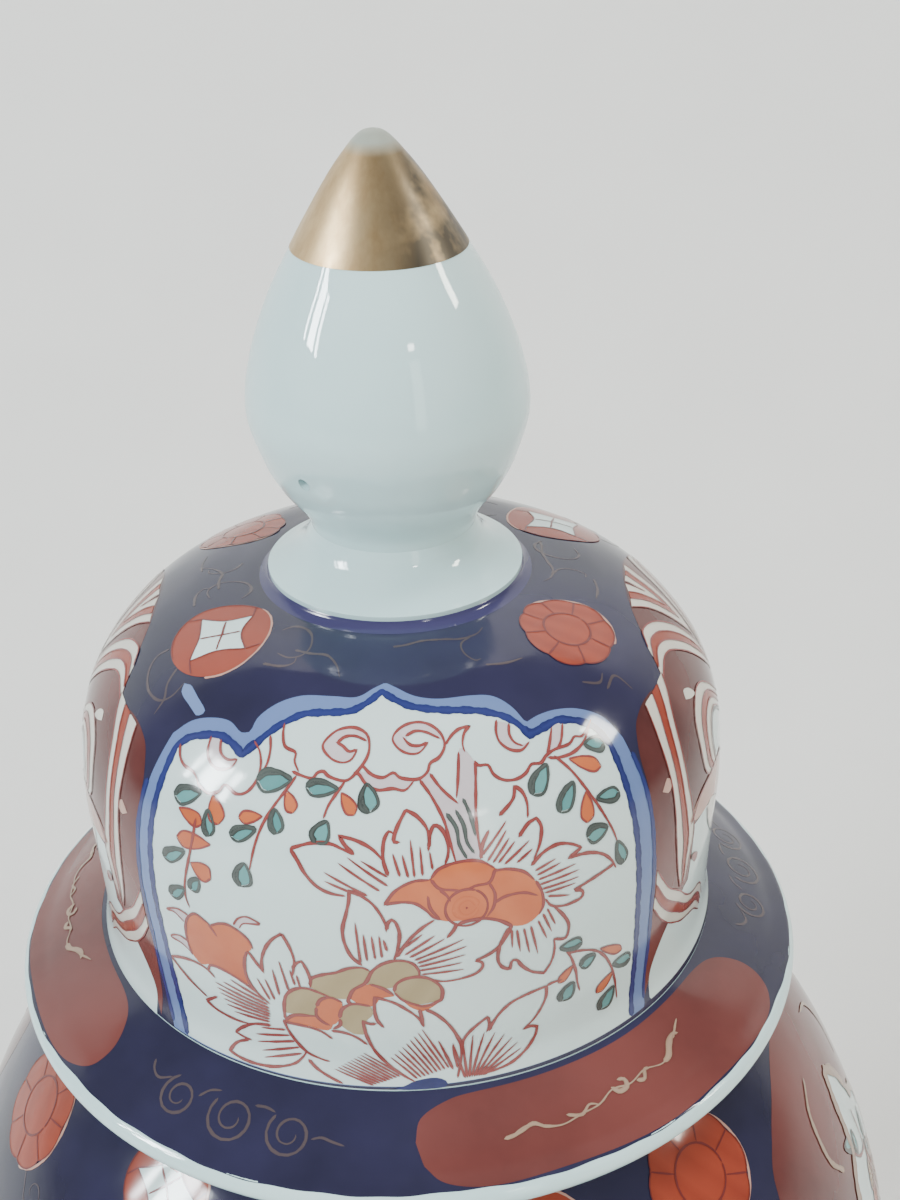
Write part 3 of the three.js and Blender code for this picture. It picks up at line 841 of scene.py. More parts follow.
def scroll_half(c):
    """A brick-red side panel from its edge to its middle: striped scrolls, and a white foot."""
    c.area("red_ground", "0,2.6 0,14 0,26 0.2,37 0.4,46 1,49.4 2.8,52.6 5,54.1 8,55.1 11,55.4 13,55.2"
           " | 14.6,54.2 | 16.4,55 18,57.4 20.4,60.2 24,62.6 28,64.5 32,65.6 36,66.2 40.6,66.5"
           " | 40.6,10 | 24,14 10,12 4.6,9.5 1.4,5", 1.0,
           fade=lambda x, y: 0.45 + 0.55 / (1 + math.exp((34 - y) / 2)))
    c.area("reserve", "12.2,19 12.4,24 12.2,30 | 18.2,30 | 24,27 32,21 40.6,15 | 40.6,1.3"
           " | 30,1.2 14,1.2 1.2,1.3 | 1.6,6.4 3.1,9.9 5.4,13.2 8.6,16.4 10.6,18.4", 0.5)
    c.area("reserve", "25,35 23.6,37 23.3,39.5 24.3,41.6 26.8,42.8 29.5,42.4 32.5,40.6 36,38 40.6,35"
           " | 40.6,29 | 36.4,31.8 31,34 27.6,35.2", 0.5)
    c.area("blush", "10.6,31.6 13,33.6 17,34.8 21,34.9 26,34.6 31,33 36,29.2 40.6,25.6 | 40.6,15.4"
           " | 36,19 30,23.8 24.6,28.2 20.8,29.8 17,30 13.6,30.4", 0.5,
           fade=lambda x, y: 0.7 + 0.5 * math.sin(0.5 * x + 0.7 * y))
    c.area("cream", "18.4,29.6 19.2,26.9 21.2,24.2 24.4,21 28.4,18 33,15 37.4,12.6 40.6,11.6 | 40.6,15.2"
           " | 36,19 30,23.8 24.6,28 21,29.8", 0.4)
    c.line("black_line", "18.4,29.6 19.2,26.9 21.2,24.2 24.4,21 28.4,18 33,15 37.4,12.6 40.4,11.6", 0.45)
    c.line("red_line", "11,31 15,34.3 21,35 26,34.7 31,33.1 36,29.3 40.4,25.8", 0.4)
    ribbon(c, "9.2,19.4 8.1,22 7,25.5 6.2,30 5.9,36 5.9,42 6.1,47 6.8,51 7.8,54.6",
           "10.2,19.2 11,22 11.3,25 12.2,29.4 11.7,33 10.7,38 10.6,42 11.2,46 12.7,50 15,53 17.4,56")
    ribbon(c, "20,60 23,61.9 25.5,62 28.5,61.3 31,60 34,57.6 36.5,54.6 38.6,51.2 40.5,47.4",
           "16.6,55.1 19,56.1 22,56.9 25,56.5 28,54.9 31,52.7 34,49.8 37,46.7 40.5,43")
    ribbon(c, "39.8,66.3 40.2,64.4 40.5,62.4", "30.2,65 33.6,62.2 36,58.8 38.6,54.2 40.5,50.6")
    ribbon(c, "20,35.2 18.2,36.5 17.3,39 17.3,42 18.2,45.5 20.5,47.5 24,48.8 27.5,48.3 31,46 35,42.5"
              " 40.5,38.5",
           "25,35 23.6,37 23.3,39.5 24.3,41.6 26.8,42.8 29.5,42.4 32.5,40.6 36,38 40.5,35")
    c.line("black_line", "24.8,36 23.9,38 24,40 25.2,41.6 27.2,42.3 29.5,41.8 32.5,40 36,37.4"
                         " 40.4,34.4", 0.4)
    ribbon(c, "0.9,28.2 2.5,25.6 5,22.2 7.4,20.2 9.4,18.6 11.4,16.6 13.6,15 16,14.2 18.4,13.8 20.6,12.2"
              " 22.4,8.8",
           "0.9,20.4 3.2,17 5.8,14.4 8.4,12.7 11,11.3 14,10.4 17,9.4 19.4,7.6 20.8,6.6")
    c.area("cream", "19,49.7 19.9,51 22,50.3 23.2,48.6 20.8,48.9", 0.3)
    c.area("blush", "3.2,41.4 5.2,42.9 6,41.4 4.8,40.4", 0.2)
    c.line("red_line", "12.4,23.8 13.6,23 15.2,21.6", 1.7, 0.9)


def side_panel(c, middle, base):
    """Two mirrored halves of brick-red scrolls."""
    half = 40.5
    for flip in (1, -1):
        c.move(middle - flip * half, base, flip=flip)
        scroll_half(c)


def lattice_roundel(c, radius):
    """An orange disc with a hollow-sided white diamond, crossed by thin lines."""
    c.line("blush", arc((0, 0), radius + 0.1, -60, 95, 24), 0.6, 0.3)
    c.area("tile_orange", arc((0, 0), radius, 0, 352, 44), 0.55)
    c.line("deep_red", arc((0, 0), radius - 0.2, 100, 250, 24), 0.3, 0.6)
    reach, waist = 0.76 * radius, 0.38 * radius
    diamond = []
    for k in range(4):
        tip, following = (around_origin(reach, angle) for angle in (90 * k, 90 * k + 90))
        hollow = around_origin(waist * 1.12, 90 * k + 45)
        diamond.extend(smooth([tip, hollow, following], 6)[:-1])
    c.area("panes", diamond, 0.5)
    c.line("deep_red", [*diamond, diamond[0]], 0.3, 0.95)
    for angle in (48, 132):
        x, y = around_origin(0.40 * radius, angle)
        c.line("deep_red", [(x, y), (0.3, 0.2), (-x, -y)], 0.42, 0.8)
    for k in range(4):
        start = around_origin(reach, 90 * k)
        end = around_origin(0.97 * radius, 90 * k + 14)
        c.line("deep_red", [start, end], 0.32, 0.7)


def flower_roundel(c, radius):
    """An orange flower: a disc of petals outlined in red."""
    c.line("blush", arc((0, 0), radius, -60, 95, 24), 0.6, 0.3)
    edge = []
    petals = 8
    step = 360 / petals
    for k in range(petals):
        middle = math.radians(step * k)
        centre = (0.45 * radius * math.cos(middle), 0.45 * radius * math.sin(middle))
        spread = arc(centre, 0.55 * radius, step * k - 41, step * k + 41, 7)
        edge.extend(spread)
        c.line("deep_red", spread, 0.26, 0.9)
        between = middle + math.radians(step / 2)
        root = (0.5 * radius * math.cos(between), 0.5 * radius * math.sin(between))
        c.line("deep_red", [spread[-1], root], 0.32, 0.7)
    c.area("tile_orange", edge, 0.6, fade=lambda x, y: 0.8 + 0.4 * math.sin(x + 0.6 * y))
    c.line("deep_red", arc((0, 0), 0.49 * radius, 0, 358, 26), 0.4, 0.9)


def curl(c, x, y, radius, start, sweep, width=0.3, tail=()):
    """A gilt scroll that winds in, rubbed until little gold is left."""
    turn = np.radians(start + sweep * np.linspace(0, 1, 26))
    reach = radius * np.linspace(1, 0.28, 26)
    curve = [*tail] + [(x + r * math.cos(a), y + r * math.sin(a)) for a, r in zip(turn, reach)]
    c.line("worn_gilt", curve, width, 0.5)


def tendril(c, x, y, size, flip):
    """A pair of faint gilt scrolls with a leafy tip, on the dark ground."""
    curl(c, x, y, size, 200, 400 * flip, tail=[(x - 1.6 * size, y + 0.4 * size * flip)])
    curl(c, x + 1.7 * size, y - 0.9 * size * flip, 0.8 * size, 120, -380 * flip)
    c.line("worn_gilt", [(x + 2.2 * size, y + 0.4 * size * flip), (x + 3 * size, y + 0.9 * size * flip),
                         (x + 3.8 * size, y + 0.3 * size * flip)], 0.3, 0.4)


def both_sides(half):
    """A closed outline from its right half, which runs from the top to the bottom of the axis."""
    drawn = joined(path(half))
    return np.vstack([drawn, drawn[::-1][1:-1] * (-1, 1)])


def small_flower(c, x, y, radius):
    """A little flower seen from above, with hatched petals."""
    petals = 6
    for k in range(petals):
        turn = math.radians(360 / petals * k + 12)
        ahead = np.array([math.cos(turn), math.sin(turn)])
        aside = np.array([-math.sin(turn), math.cos(turn)])
        petal = [np.array([x, y]) + ahead * radius * out + aside * radius * side
                 for out, side in ((0.25, 0), (0.5, 0.34), (0.85, 0.36), (1.0, 0.12), (0.92, 0),
                                   (1.0, -0.12), (0.85, -0.36), (0.5, -0.34))]
        rounded = smooth(petal, 5, closed=True)
        c.area("orange" if k % 2 else "khaki", rounded, 0.4)
        c.line("red_line", [*rounded, rounded[0]], 0.5, 0.9)
        for side in (-0.16, 0, 0.16):
            root = np.array([x, y]) + ahead * radius * 0.36 + aside * radius * side * 0.7
            c.line("red_line", [root, root + (ahead + aside * side) * radius * 0.4], 0.4, 0.3)
    c.area("khaki", arc((x, y), 0.26 * radius, 0, 345, 20), 0.8)
    c.line("red_line", arc((x, y), 0.28 * radius, 0, 355, 20), 0.5, 0.9)


def tall_panel(c):
    """A tall brick-red panel with gilt tendrils round a lobed reserve of flowering branch."""
    c.area("red_ground", both_sides(
        "0,198.6 12,197.6 21.6,194 28,190.6 33.6,185 35.4,172 35.4,130 35.2,80 34,26 31,9 | 16,5 0,7"), 0.9,
        fade=lambda x, y: 0.7 + 0.3 * math.sin(0.06 * y + 0.1 * x))
    reserve = both_sides(
        "0,181 4,176 7,167 | 12,163 14.6,153 13,143 | 18.5,136 21,123 18.6,110 | 23,101 24.6,86 21.6,72"
        " | 24,61 23,45 15,33 | 11,29 5,25 0,17")
    c.area("reserve", reserve, 0.5)
    closed = np.vstack([reserve, reserve[:1]])
    c.line("old_gilt", closed, 2.2, 0.95)
    c.line("red_line", closed, 0.5, 0.95)
    for flip in (1, -1):
        for base in (30, 78, 126):
            for width, scroll in (
                    (1.1, ((29, 0), (27, 9), (30.5, 20), (28, 31), (25.5, 38))),
                    (0.8, ((29.4, 18), (31.6, 15), (32.2, 22), (30.6, 27))),
                    (0.7, ((27.5, 10), (25, 13), (25.2, 18), (27, 20)))):
                curve = smooth([(x * flip, base + y) for x, y in scroll], 8)
                c.line("old_gilt", curve, width, 0.4)
        hook = [(14 * flip, 170), (17 * flip, 176), (15 * flip, 184), (9 * flip, 188)]
        c.line("old_gilt", smooth(hook, 8), 1.0, 0.4)
    stem = smooth([(1, 24), (-3, 45), (4, 68), (-4, 94), (3, 118), (-2, 142), (2, 168)], 12)
    c.line("red_line", stem, 1.0, 0.5)
    for k, y in enumerate(range(34, 166, 9)):
        side = 1 if k % 2 else -1
        root_x = float(np.interp(y, stem[:, 1], stem[:, 0]))
        reach = (7.5 if y > 130 else 11.5) + hand.uniform(-1, 1.5)
        tip = (root_x + side * reach, y + 8)
        c.line("red_line", smooth([(root_x, y), (root_x + side * reach * 0.6, y + 3), tip], 6), 0.6, 0.5)
        fill = "orange" if k % 3 == 0 else "turquoise"
        leaf(c, tip[0], tip[1] + 1.5, 5.6, 3.0, 90 - side * 50, fill)
        leaf(c, root_x + side * reach * 0.55, y + 6.4, 4.8, 2.6, 90 + side * 18)
    for x, y, radius in ((1, 58, 10.5), (-3, 104, 9.5), (1, 152, 6.6)):
        c.area("reserve", arc((x, y), radius * 1.02, 0, 345, 26), 0.5)
        small_flower(c, x, y, radius)


def lappets(c, count, bottom, top):
    """A border of upright petals all round, each with an orange heart."""
    step = 2 * math.pi * c.wall.reference / count
    tall = top - bottom
    outline = both_sides(f"0,{tall} 0.30,{tall * 0.9} 0.43,{tall * 0.6} 0.44,{tall * 0.3} 0.44,0"
                         " | 0.2,0 0,0")
    outline = outline * (step, 1)
    heart = arc((0, tall * 0.36), 1, 0, 345, 18)
    heart = [(x * step * 0.17, tall * 0.36 + (y - tall * 0.36) * tall * 0.2) for x, y in heart]
    for k in range(count):
        c.move(-math.pi * c.wall.reference + step * (k + 0.5), bottom)
        c.area("reserve", outline, 0.5)
        c.line("navy", np.vstack([outline[40:], outline[:40]]), 0.8, 0.9)
        c.area("orange", heart, 0.5)
        c.line("red_line", [(0, tall * 0.62), (0, tall * 0.8)], 0.6, 0.5)


# ---------------------------------------------------------------- the lid

rim_radius = 70
rim_edge = 2.2
bore_radius = 40.5
rim_z = low("lid_flange") + rim_edge
seat_z = high("jar_neck")
dome_z = low("lid_dome")
crown_z = high("lid_dome")
stem_z = high("finial_stem")
tip_z = high("finial_bud")

dome_outline = [
    (54.4, dome_z), (53.6, dome_z + 5.7), (54.1, dome_z + 17.7), (54.7, dome_z + 29.7),
    (53.6, dome_z + 40.7), (49.8, dome_z + 49.3), (43, crown_z - 7), (34.3, crown_z - 2.4),
    (26, crown_z - 0.6), (20, crown_z),
]
dome_wall = Wall(dome_outline, reference=54)
dome_bore = [(0, crown_z - 5), (20, crown_z - 5), (33, crown_z - 7.4), (40, crown_z - 11),
             (46, crown_z - 17.4), (48.6, crown_z - 24), (49.6, crown_z - 34), (48.8, dome_z + 10),
             (49.4, dome_z)]
lid_dome = turned("lid_dome_clay", [*smooth(dome_bore, 6), *dome_wall.curve, (0, crown_z)], GLAZE)

dome = Canvas("dome", dome_wall, "lid", gap=1.0)
dome.film("cobalt").ring(0.15, dome_wall.height - 0.05, 0.8)
half_turn = math.pi * dome_wall.reference
side_middle = 82.4
for x, y in ((side_middle, 0), (side_middle - half_turn, -2)):
    side_panel(dome, x, y)
dome.move(0)
floral_panel(dome)
dome.area("navy", "-3.6,0.3 -1.8,0.9 -0.2,1.7 2.5,2.1 4.3,1.6 4.9,0.6 4,0.2 2,0.15 -1.5,0.15", 0.9)
dome.move(half_turn)
floral_panel(dome)

roundel_y = 71.7
left_roundel, right_roundel = -54.4, 50
for turn in (0, half_turn):
    dome.spot(left_roundel + turn, roundel_y, turn=4)
    lattice_roundel(dome, 8.4)
    dome.spot(right_roundel - turn, roundel_y, turn=-6)
    flower_roundel(dome, 7.8)
for turn in (0, half_turn):
    for flip in (1, -1):
        dome.move(left_roundel + turn, flip=flip)
        scrolls = ("13.4,78.5 15.9,80.3 20.4,80.6 24.4,79.5 26.9,77 26.4,74.8 23.4,73.6 19.4,73.8",
                   "23.4,75.5 28.4,75.6 33.4,75.9 37.4,74 39.4,71.6",
                   "18.4,71 23.4,71.6 25.8,72.8 25.4,74.2")
        for scroll in scrolls[:1 if turn else 3]:
            dome.line("worn_gilt", scroll, 0.5, 0.4)
        dome.move(right_roundel - turn, flip=flip)
        scrolls = ("52,79 48,79.3 42,80 35,79.6 30,78.9 24,79 20,80",
                   "26,79 30.5,77.8 31.5,75.6 30,73.5 28,73.4", "28,72 23,71.2 18,71")
        for scroll in scrolls[1 if turn else 0:]:
            dome.line("worn_gilt", scroll, 0.45, 0.4)
    dome.move(left_roundel + turn)
    dome.line("worn_gilt", "-7.6,64.5 -8.6,62.2 -7,59.8 -3.1,57.8 1.4,57.7 3.9,59.5 4.4,62.5", 0.5, 0.4)
    dome.line("worn_gilt", "-0.6,63.4 0.6,60.5 2.6,58.4 2.6,55.5", 0.5, 0.4)
    dome.move(right_roundel - turn)
    dome.line("worn_gilt", "-10,63 -6.5,61.5 -4,62.5", 0.45, 0.4)
    dome.line("worn_gilt", "-6,60 -2,61 -0.5,57.5", 0.45, 0.4)
dome.finish()

flange_outline = [
    *arc((rim_radius - rim_edge, rim_z), rim_edge, 20, 65, 3), (66.2, rim_z + 3.1), (63.5, rim_z + 4.7),
    (58.6, rim_z + 7.2), (54.3, rim_z + 9.1),
]
flange_wall = Wall(flange_outline, reference=62)
flange_under = [(bore_radius, seat_z + 0.3), (53.5, seat_z + 0.3), (57, seat_z - 1), (62, seat_z - 3.8),
                *arc((rim_radius - rim_edge, rim_z), rim_edge, 250, 368, 12)]
flange_shape = [*flange_under, *flange_wall.curve, (bore_radius, rim_z + 9)]
lid_flange = turned("lid_flange_clay", flange_shape, GLAZE, 256)
collar_top = high("lid_collar")
collar_low = low("lid_collar")
lid_collar = turned("lid_collar_clay", [
    (41.3, collar_low), (43, collar_low), (43.8, collar_low + 1), (44.5, collar_top),
    (bore_radius, collar_top), (bore_radius, collar_low + 1)], BISCUIT)

brim = Canvas("brim", flange_wall, "lid", gap=0.8)
brim.film("cobalt").ring(1.5, flange_wall.height - 0.05, 0.8, sway=0.24)
brim_turn = 2 * math.pi * flange_wall.reference
cartouche = (
    "-36.5,9.6 -35.6,13.2 -31.5,15.6 -26,16.6 -12,16.8 4,16.7 18,16.8 28,16.4 33.6,14.4 36.6,10"
    " 36.2,5.6 33.4,3.0 28,1.8 14,2.0 2,1.6 -14,2.1 -26,1.9 -32.4,3.2 -35.4,6"
)
gilt_twig = (
    ("-22,8.5 -18.6,9.6 -14,8.2 -10,8.7 -6.6,9 -3.4,10.2 0,9.7 3.6,10.4 7.4,9.6"
     " 10.6,11.4 14,12.8", 0.28, 0.5),
    ("-23,8.4 -20.6,8.8 -18.6,9.6 | -17.6,9.6 -16,8.6 -14,8.2", 0.6, 0.4),
    ("-12.4,9.4 -10,8.6 -8.2,9.6 -6.6,9", 0.5, 0.4),
    ("-3.4,10.6 -2.4,9.4 -0.8,9.6 -0.6,10.8 -1.8,11.2", 0.75, 0.8),
    ("1.2,9.6 2.6,9.2 3.6,10.4 4.6,10.2", 0.7, 0.5),
    ("7.4,9.6 9,10 10.6,11.4 12.4,12.2 13.6,11.8", 1.0, 0.5),
    ("12,11.6 14,12.8 15.6,13.6", 0.4, 0.4),
)
for k in range(3):
    middle = 36 + k * brim_turn / 3
    brim.move(middle, 0)
    brim.area("red_ground", cartouche, 0.6, fade=lambda x, y: 0.9 + 0.35 * math.sin(0.13 * x))
    for scroll, width, blunt in gilt_twig:
        brim.line("old_gilt", scroll, width, blunt)
    brim.move(middle - brim_turn / 6 - 5, 0)
    for x, y, radius, start in ((-6.6, 9.3, 3.5, 120), (3.6, 9.5, 4.2, 150), (13.6, 9.4, 3.9, 140)):
        curl(brim, x, y, radius, start, 590, 0.5)
    for scroll in (
        "-14.6,12.3 -13.6,10.9 -11.8,10.2 -9.6,11.4", "-3.4,10.6 -2,12.2 0,12.9",
        "6.6,12.4 8.6,12.6 10.4,12.2", "17.2,9.2 18.8,9.7 20.4,9.3 22.6,8.8",
    ):
        brim.line("worn_gilt", scroll, 0.45, 0.5)
brim.finish()


# ---------------------------------------------------------------- the finial

def leaning(points):
    """The bud was set by hand, and its point leans a little to one side."""
    height = np.clip((points[:, 2] - stem_z * MM) / ((tip_z - stem_z) * MM), 0, 1)
    points[:, 0] -= 0.0009 * height**1.6
    return points


split_z = stem_z + 0.25
bud_outline = [
    (13.4, split_z), (13.9, stem_z + 2), (15.1, stem_z + 4), (17.2, stem_z + 6.6), (18.7, stem_z + 8.9),
    (20.4, stem_z + 12.6), (22.4, stem_z + 20), (21.3, stem_z + 28.2), (17.8, stem_z + 37.8),
    (13, stem_z + 46.6), (7.6, stem_z + 55.4), (4.2, stem_z + 60), (2.0, stem_z + 62.3), (0, tip_z),
]
bud_curve = smooth(bud_outline, 10)
bud_clay = turned("finial_bud_clay", [(0, split_z), *bud_curve], GLAZE, 128, leaning)


def drilled(piece, start, end, radius):
    """The piece with a small round hole between two points, as new mesh data."""
    way = Vector(end) - Vector(start)
    bpy.ops.mesh.primitive_cylinder_add(vertices=20, radius=radius, depth=way.length)
    drill = bpy.context.object
    aim = way.to_track_quat("Z", "Y").to_matrix().to_4x4()
    drill.matrix_world = Matrix.Translation(Vector(start) + way / 2) @ aim
    cut = piece.modifiers.new("vent", "BOOLEAN")
    cut.operation = "DIFFERENCE"
    cut.object = drill
    solid = piece.evaluated_get(bpy.context.evaluated_depsgraph_get())
    mesh = bpy.data.meshes.new_from_object(solid)
    piece.modifiers.clear()
    piece.data = mesh
    bpy.data.objects.remove(drill)


vent_turn, vent_z, vent_radius = math.radians(-130), 352, 1.1
vent_ends = [Vector((r * math.cos(vent_turn), r * math.sin(vent_turn), z)) * MM
             for r, z in ((13, vent_z + 4), (23, vent_z - 3))]
drilled(bud_clay, *vent_ends, vent_radius * MM)
stem_base = low("finial_stem")
stem_curve = smooth([(20.9, stem_base + 1.6), (19.8, stem_base + 2.1), (17.2, stem_base + 3.6),
                     (15, stem_base + 5.6), (13.9, stem_base + 7.6), (13.4, split_z)], 8)
finial_stem = turned("finial_stem_clay", [(0, stem_base), (20.6, stem_base), (20.9, stem_base + 0.6),
                                          *stem_curve, (0, split_z)], GLAZE, 128)
pool_outline = [
    (22.8, crown_z - 0.3), (21.9, crown_z + 0.1), (21.2, crown_z + 0.6),
    (20.85, crown_z + 1.2), (20.6, crown_z + 0.6), (20.6, crown_z - 0.8),
]
pooled_blue = turned("pooled_blue", smooth(pool_outline, 4), PIGMENTS["cobalt"][0], 128)
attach(pooled_blue, "lid")


def cap_gold():
    """The gilding of the tip: streaky, with painted shade in patches on its right side, and worn to the
    glaze at the point.
    """
    material, tree, shader = new_material("gilt_cap")
    where = tree.nodes.new("ShaderNodeTexCoord")
    axes = tree.nodes.new("ShaderNodeSeparateXYZ")
    tree.links.new(where.outputs["Object"], axes.inputs[0])
    streaks = remap(tree, noise_at(tree, 260, 4, 0.6, (1, 1, 0.12)), 0.35, 0.65)
    cloudy = remap(tree, noise_at(tree, 90, 4, 0.6), 0.24, 0.50)
    # Painted shade: the cap's +x side, the right as the camera sees it, is darkened towards dark brown in
    # cloudy patches.
    side = remap(tree, axes.outputs["X"], -0.002, 0.005)
    painted_side_shade = product_of(tree, side, cloudy)
    warm = blend_of(tree, streaks, (0.44, 0.295, 0.145), (0.60, 0.435, 0.235))
    shaded_gold = blend_of(tree, painted_side_shade, warm, (0.10, 0.082, 0.06))
    height = remap(tree, axes.outputs["Z"], (tip_z - 4.0) * MM, (tip_z - 0.9) * MM)
    worn = remap(tree, product_of(tree, height, remap(tree, cloudy, 0, 1, 0.6, 1.0)), 0.25, 0.8)
    tree.links.new(blend_of(tree, worn, shaded_gold, (0.34, 0.36, 0.31)), shader.inputs["Base Color"])
    tree.links.new(remap(tree, worn, 0, 1, 0.85, 0.2), shader.inputs["Metallic"])
    tree.links.new(remap(tree, streaks, 0, 1, 0.46, 0.36), shader.inputs["Roughness"])
    ripple(tree, shader)
    return material


cap_z = stem_z + 45.3
cap_curve = [(r + 0.05, z + 0.05) for r, z in bud_curve[:-1] if z > cap_z]
cap_inner = [(r - 0.5, z - 0.3) for r, z in cap_curve if r > 0.7]
gilt_cap = turned("gilt_cap", [(0, tip_z - 0.6), *reversed(cap_inner), *cap_curve, (0, tip_z + 0.05)],
                  cap_gold(), 128, leaning)

for piece, node in ((lid_dome, "lid_dome"), (lid_flange, "lid_flange"), (lid_collar, "lid_collar"),
                    (bud_clay, "finial_bud"), (finial_stem, "finial_stem")):
    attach(piece, "lid")
    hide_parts(node)
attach(gilt_cap, "lid")


# ---------------------------------------------------------------- the jar

foot_z = high("foot_ring")
neck_z = high("jar_body")
body_outline = [
    (60.9, foot_z + 0.3), (60, 16), (62.5, 34), (71, 64), (81.5, 96), (90, 128), (94.4, 160),
    (91.6, 190), (84, 213), (74, 230.5), (62.5, 243.2), (53, neck_z),
]
body_wall = Wall(body_outline, reference=75)
body_bore = [(46.5, neck_z), (46.7, neck_z - 3), (50, neck_z - 7.6), (58.6, neck_z - 11), (70, neck_z - 24),
             (79, neck_z - 40), (85.8, neck_z - 61), (88.4, 160), (84, 129), (75.6, 98), (65.3, 66),
             (56.8, 36), (54, 24), (47, 16.5), (38, 14), (0, 14)]
jar_body = turned("jar_body_clay", [(0, foot_z + 0.3), *body_wall.curve, *smooth(body_bore, 6)], GLAZE, 256)
jar_neck = turned("jar_neck_clay", [
    (46.5, low("jar_neck")), (53, low("jar_neck")), (52, low("jar_neck") + 2),
    *arc((51, seat_z - 1), 1, 0, 90, 5), *arc((47.5, seat_z - 1), 1, 90, 180, 5)], GLAZE)
foot_ring = turned("foot_ring_clay", [
    (53.7, 0), (59.3, 0), (60.5, 1.2), (60.9, foot_z + 0.2), (51.9, foot_z + 0.2), (52.5, 1.2)], BISCUIT)
for piece, node in ((jar_body, "jar_body"), (jar_neck, "jar_neck"), (foot_ring, "foot_ring")):
    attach(piece, "jar")
    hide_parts(node)

belly = Canvas("belly", body_wall, "jar", gap=2.0)
border_low, border_top = 13.0, 34.0
for bottom, top in ((2.4, 3.3), (6.0, 8.2), (11.6, border_low + 0.1)):
    belly.film("navy").ring(bottom, top, 0.8)
belly.film("cobalt").ring(border_low, body_wall.height - 1.0, 0.8)
lappets(belly, 32, border_low + 0.8, border_top)
belly.film("sky").ring(border_top + 2, border_top + 6, 0.6)
for bottom in (border_top + 1.4, border_top + 5.6):
    belly.film("navy").ring(bottom, bottom + 0.9, 0.9)

front_x, back_x = -18, 214.5
belly.move(front_x, 54, size=2.14, stretch=0.84, pen=1.35)
floral_panel(belly)
belly.move(back_x, 60, size=1.95, stretch=0.795, pen=1.25)
floral_panel(belly)
for x in (104, -153):
    belly.move(x, 45)
    tall_panel(belly)

shoulder = (
    (-93.2, 237.2, "flower"), (-52.6, 246.4, "lattice"), (-12, 243, "flower"), (22, 243.5, "lattice"),
    (56.3, 241.6, "flower"), (160, 241, "lattice"), (194, 243, "flower"), (228, 242, "lattice"),
    (262, 241, "flower"),
)
for x, y, kind in shoulder:
    belly.spot(x, y, turn=hand.uniform(-12, 12))  # no two sit quite straight
    if kind == "flower":
        flower_roundel(belly, 10.8)
    else:
        lattice_roundel(belly, 8.4)
for (x, y, _), (following, other, _) in zip(shoulder, shoulder[1:]):
    if following - x < 60:  # neighbours only, not the two ends of a red panel
        for drop, flip in ((-16, 1), (-30, -1)):
            belly.spot((x + following) / 2 - 4, (y + other) / 2 + drop)
            tendril(belly, -4, 2, 3.4, flip)
for x in (front_x, back_x):
    for k in range(7):
        belly.move(x + (k - 3) * 24, 46.5 + 2 * (k % 2))
        tendril(belly, -6, 0, 2.6, 1 if k % 2 else -1)
for x in (front_x, back_x):
    for side in (1, -1):
        for away, y in ((24, 214), (48, 206), (66, 190)):
            belly.spot(x + side * away, y, flip=side)
            tendril(belly, -6, 0, 4, side)
belly.finish()


# ---------------------------------------------------------------- stage, light and camera

def plain(name, colour):
    """A dull painted surface, a little uneven."""
    material, tree, shader = new_material(name)
    cloudy = remap(tree, noise_at(tree, 12, 4), 0.3, 0.7)
    darker = tuple(0.96 * v for v in colour)
    tree.links.new(blend_of(tree, cloudy, darker, colour), shader.inputs["Base Color"])
    shader.inputs["Roughness"].default_value = 0.9
    return material


def backdrop():
    """A pale floor that curves up into a wall behind the jar."""
    far, rise, bend, half = 0.75, 1.6, 0.5, 3.0
    profile = [(-2.5, 0.0), (far - bend, 0.0)]
    profile += [(far - bend + bend * math.sin(a), bend - bend * math.cos(a))
                for a in np.radians(np.linspace(8, 90, 12))]
    profile.append((far, rise))
    points = [(x, y, z) for y, z in profile for x in (-half, half)]
    faces = [(2 * k, 2 * k + 1, 2 * k + 3, 2 * k + 2) for k in range(len(profile) - 1)]
    floor = new_object("backdrop", points, faces, plain("backdrop", (0.80, 0.79, 0.765)))


def area_light(name, where, target, size, power, colour=(1, 1, 1), mirrored=False):
    """A lamp that either is mirrored in the glaze or lights it, never both."""
    light = bpy.data.lights.new(name, "AREA")
    light.shape = "RECTANGLE"
    light.size, light.size_y = size
    light.energy = power
    light.color = colour
    lamp = bpy.data.objects.new(name, light)
    lamp.location = where
    lamp.rotation_euler = (Vector(target) - Vector(where)).to_track_quat("-Z", "Y").to_euler()
    lamp.visible_glossy = mirrored
    lamp.visible_diffuse = not mirrored
    bpy.context.collection.objects.link(lamp)


backdrop()
crown = (0, 0, crown_z * MM)
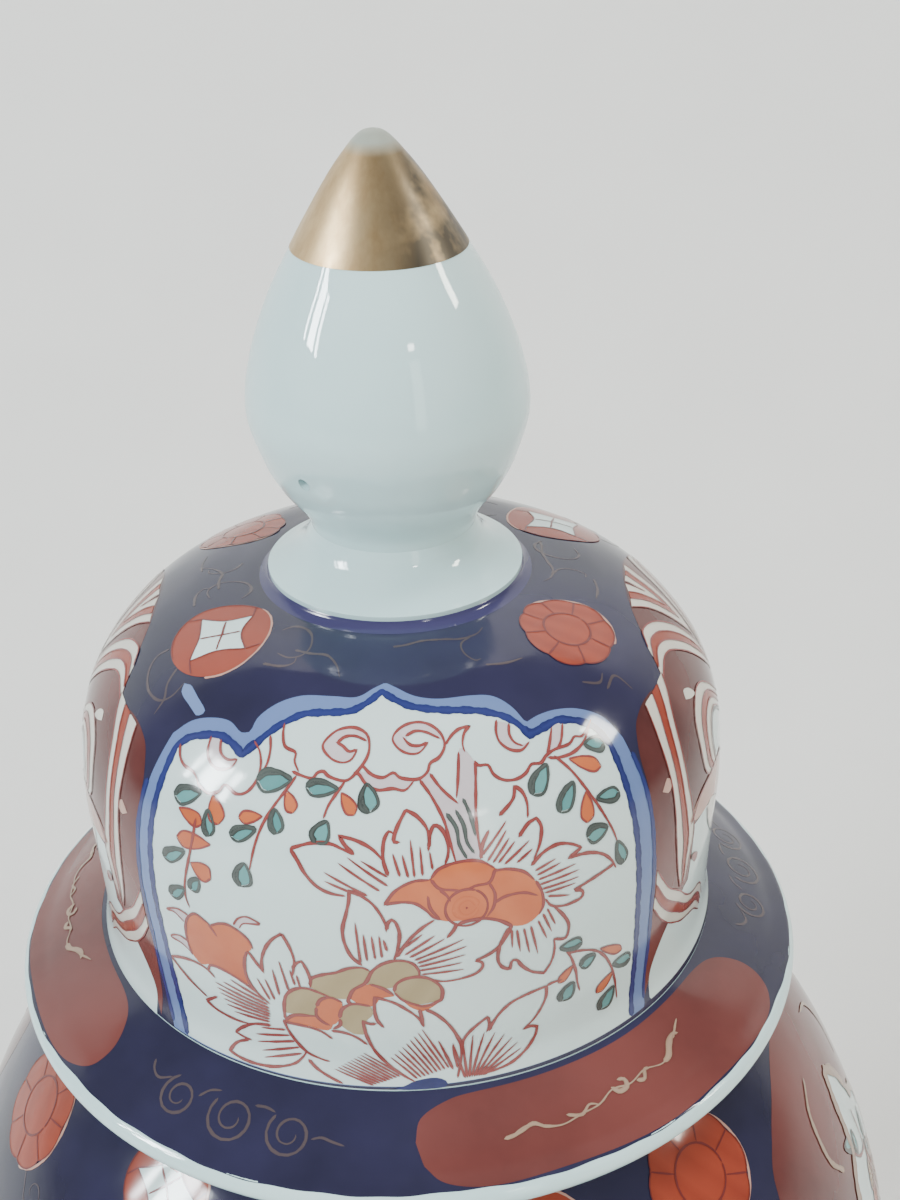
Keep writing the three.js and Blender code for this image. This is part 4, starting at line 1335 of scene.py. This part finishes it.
# The windows are seen in the glaze and light nothing; the soft lights do the opposite.
for pane, (aside, width, power) in enumerate(((-0.21, 0.05, 6.5), (0, 0.20, 27), (0.19, 0.07, 8))):
    place = (-1.43 + 0.306 * aside, -0.46 - 0.952 * aside, 1.0)
    area_light(f"window_left_{pane}", place, crown, (width, 0.5), power, (0.90, 0.96, 1.0), True)
for name, place, size, power, tint in (
        ("window_right", (1.45, -0.14, 1.20), (0.20, 0.38), 11, (1.0, 1.0, 0.90)),
        ("window_front", (0.88, -1.85, 0.62), (0.30, 1.0), 3.4, (0.94, 1.0, 0.92)),
        ("glint", (0.86, -1.85, 1.27), (0.20, 0.07), 1.8, (1.0, 1.0, 0.97))):
    area_light(name, place, crown, size, power, tint, True)
area_light("soft_left", (-1.35, -1.05, 1.35), crown, (0.9, 0.8), 52, (0.87, 0.96, 1.0))
area_light("soft_right", (1.15, -1.1, 1.2), crown, (0.8, 0.7), 20, (1.0, 0.97, 0.86))
area_light("wall_wash", (0.5, -0.1, 2.0), (0.1, 0.75, 0.4), (1.8, 0.3), 23)
world = bpy.data.worlds.new("room")
bpy.context.scene.world = world
world.use_nodes = True
world.node_tree.nodes["Background"].inputs["Color"].default_value = (0.80, 0.83, 0.85, 1)
world.node_tree.nodes["Background"].inputs["Strength"].default_value = 0.38

camera = bpy.data.objects.new("camera", bpy.data.cameras.new("camera"))
camera.data.lens = 52.5
camera.data.sensor_width = 36
camera.data.clip_start = 0.01
yaw, pitch, roll = (math.radians(a) for a in (1.97, 28.633, -1.354))
look = Vector((math.sin(yaw) * math.cos(pitch), math.cos(yaw) * math.cos(pitch), -math.sin(pitch)))
level = Vector((math.cos(yaw), -math.sin(yaw), 0))
upright = level.cross(look)
right = math.cos(roll) * level + math.sin(roll) * upright
upward = -math.sin(roll) * level + math.cos(roll) * upright
rotation = Matrix((right, upward, -look)).transposed()
stand_back, stand_above = 0.257, 0.2065  # metres from the jar's axis and above the lid's rim
camera_place = Matrix.Translation((0, -stand_back, rim_z * MM + stand_above))
camera.matrix_world = camera_place @ rotation.to_4x4()
bpy.context.collection.objects.link(camera)
bpy.context.scene.camera = camera

bpy.context.view_layer.update()
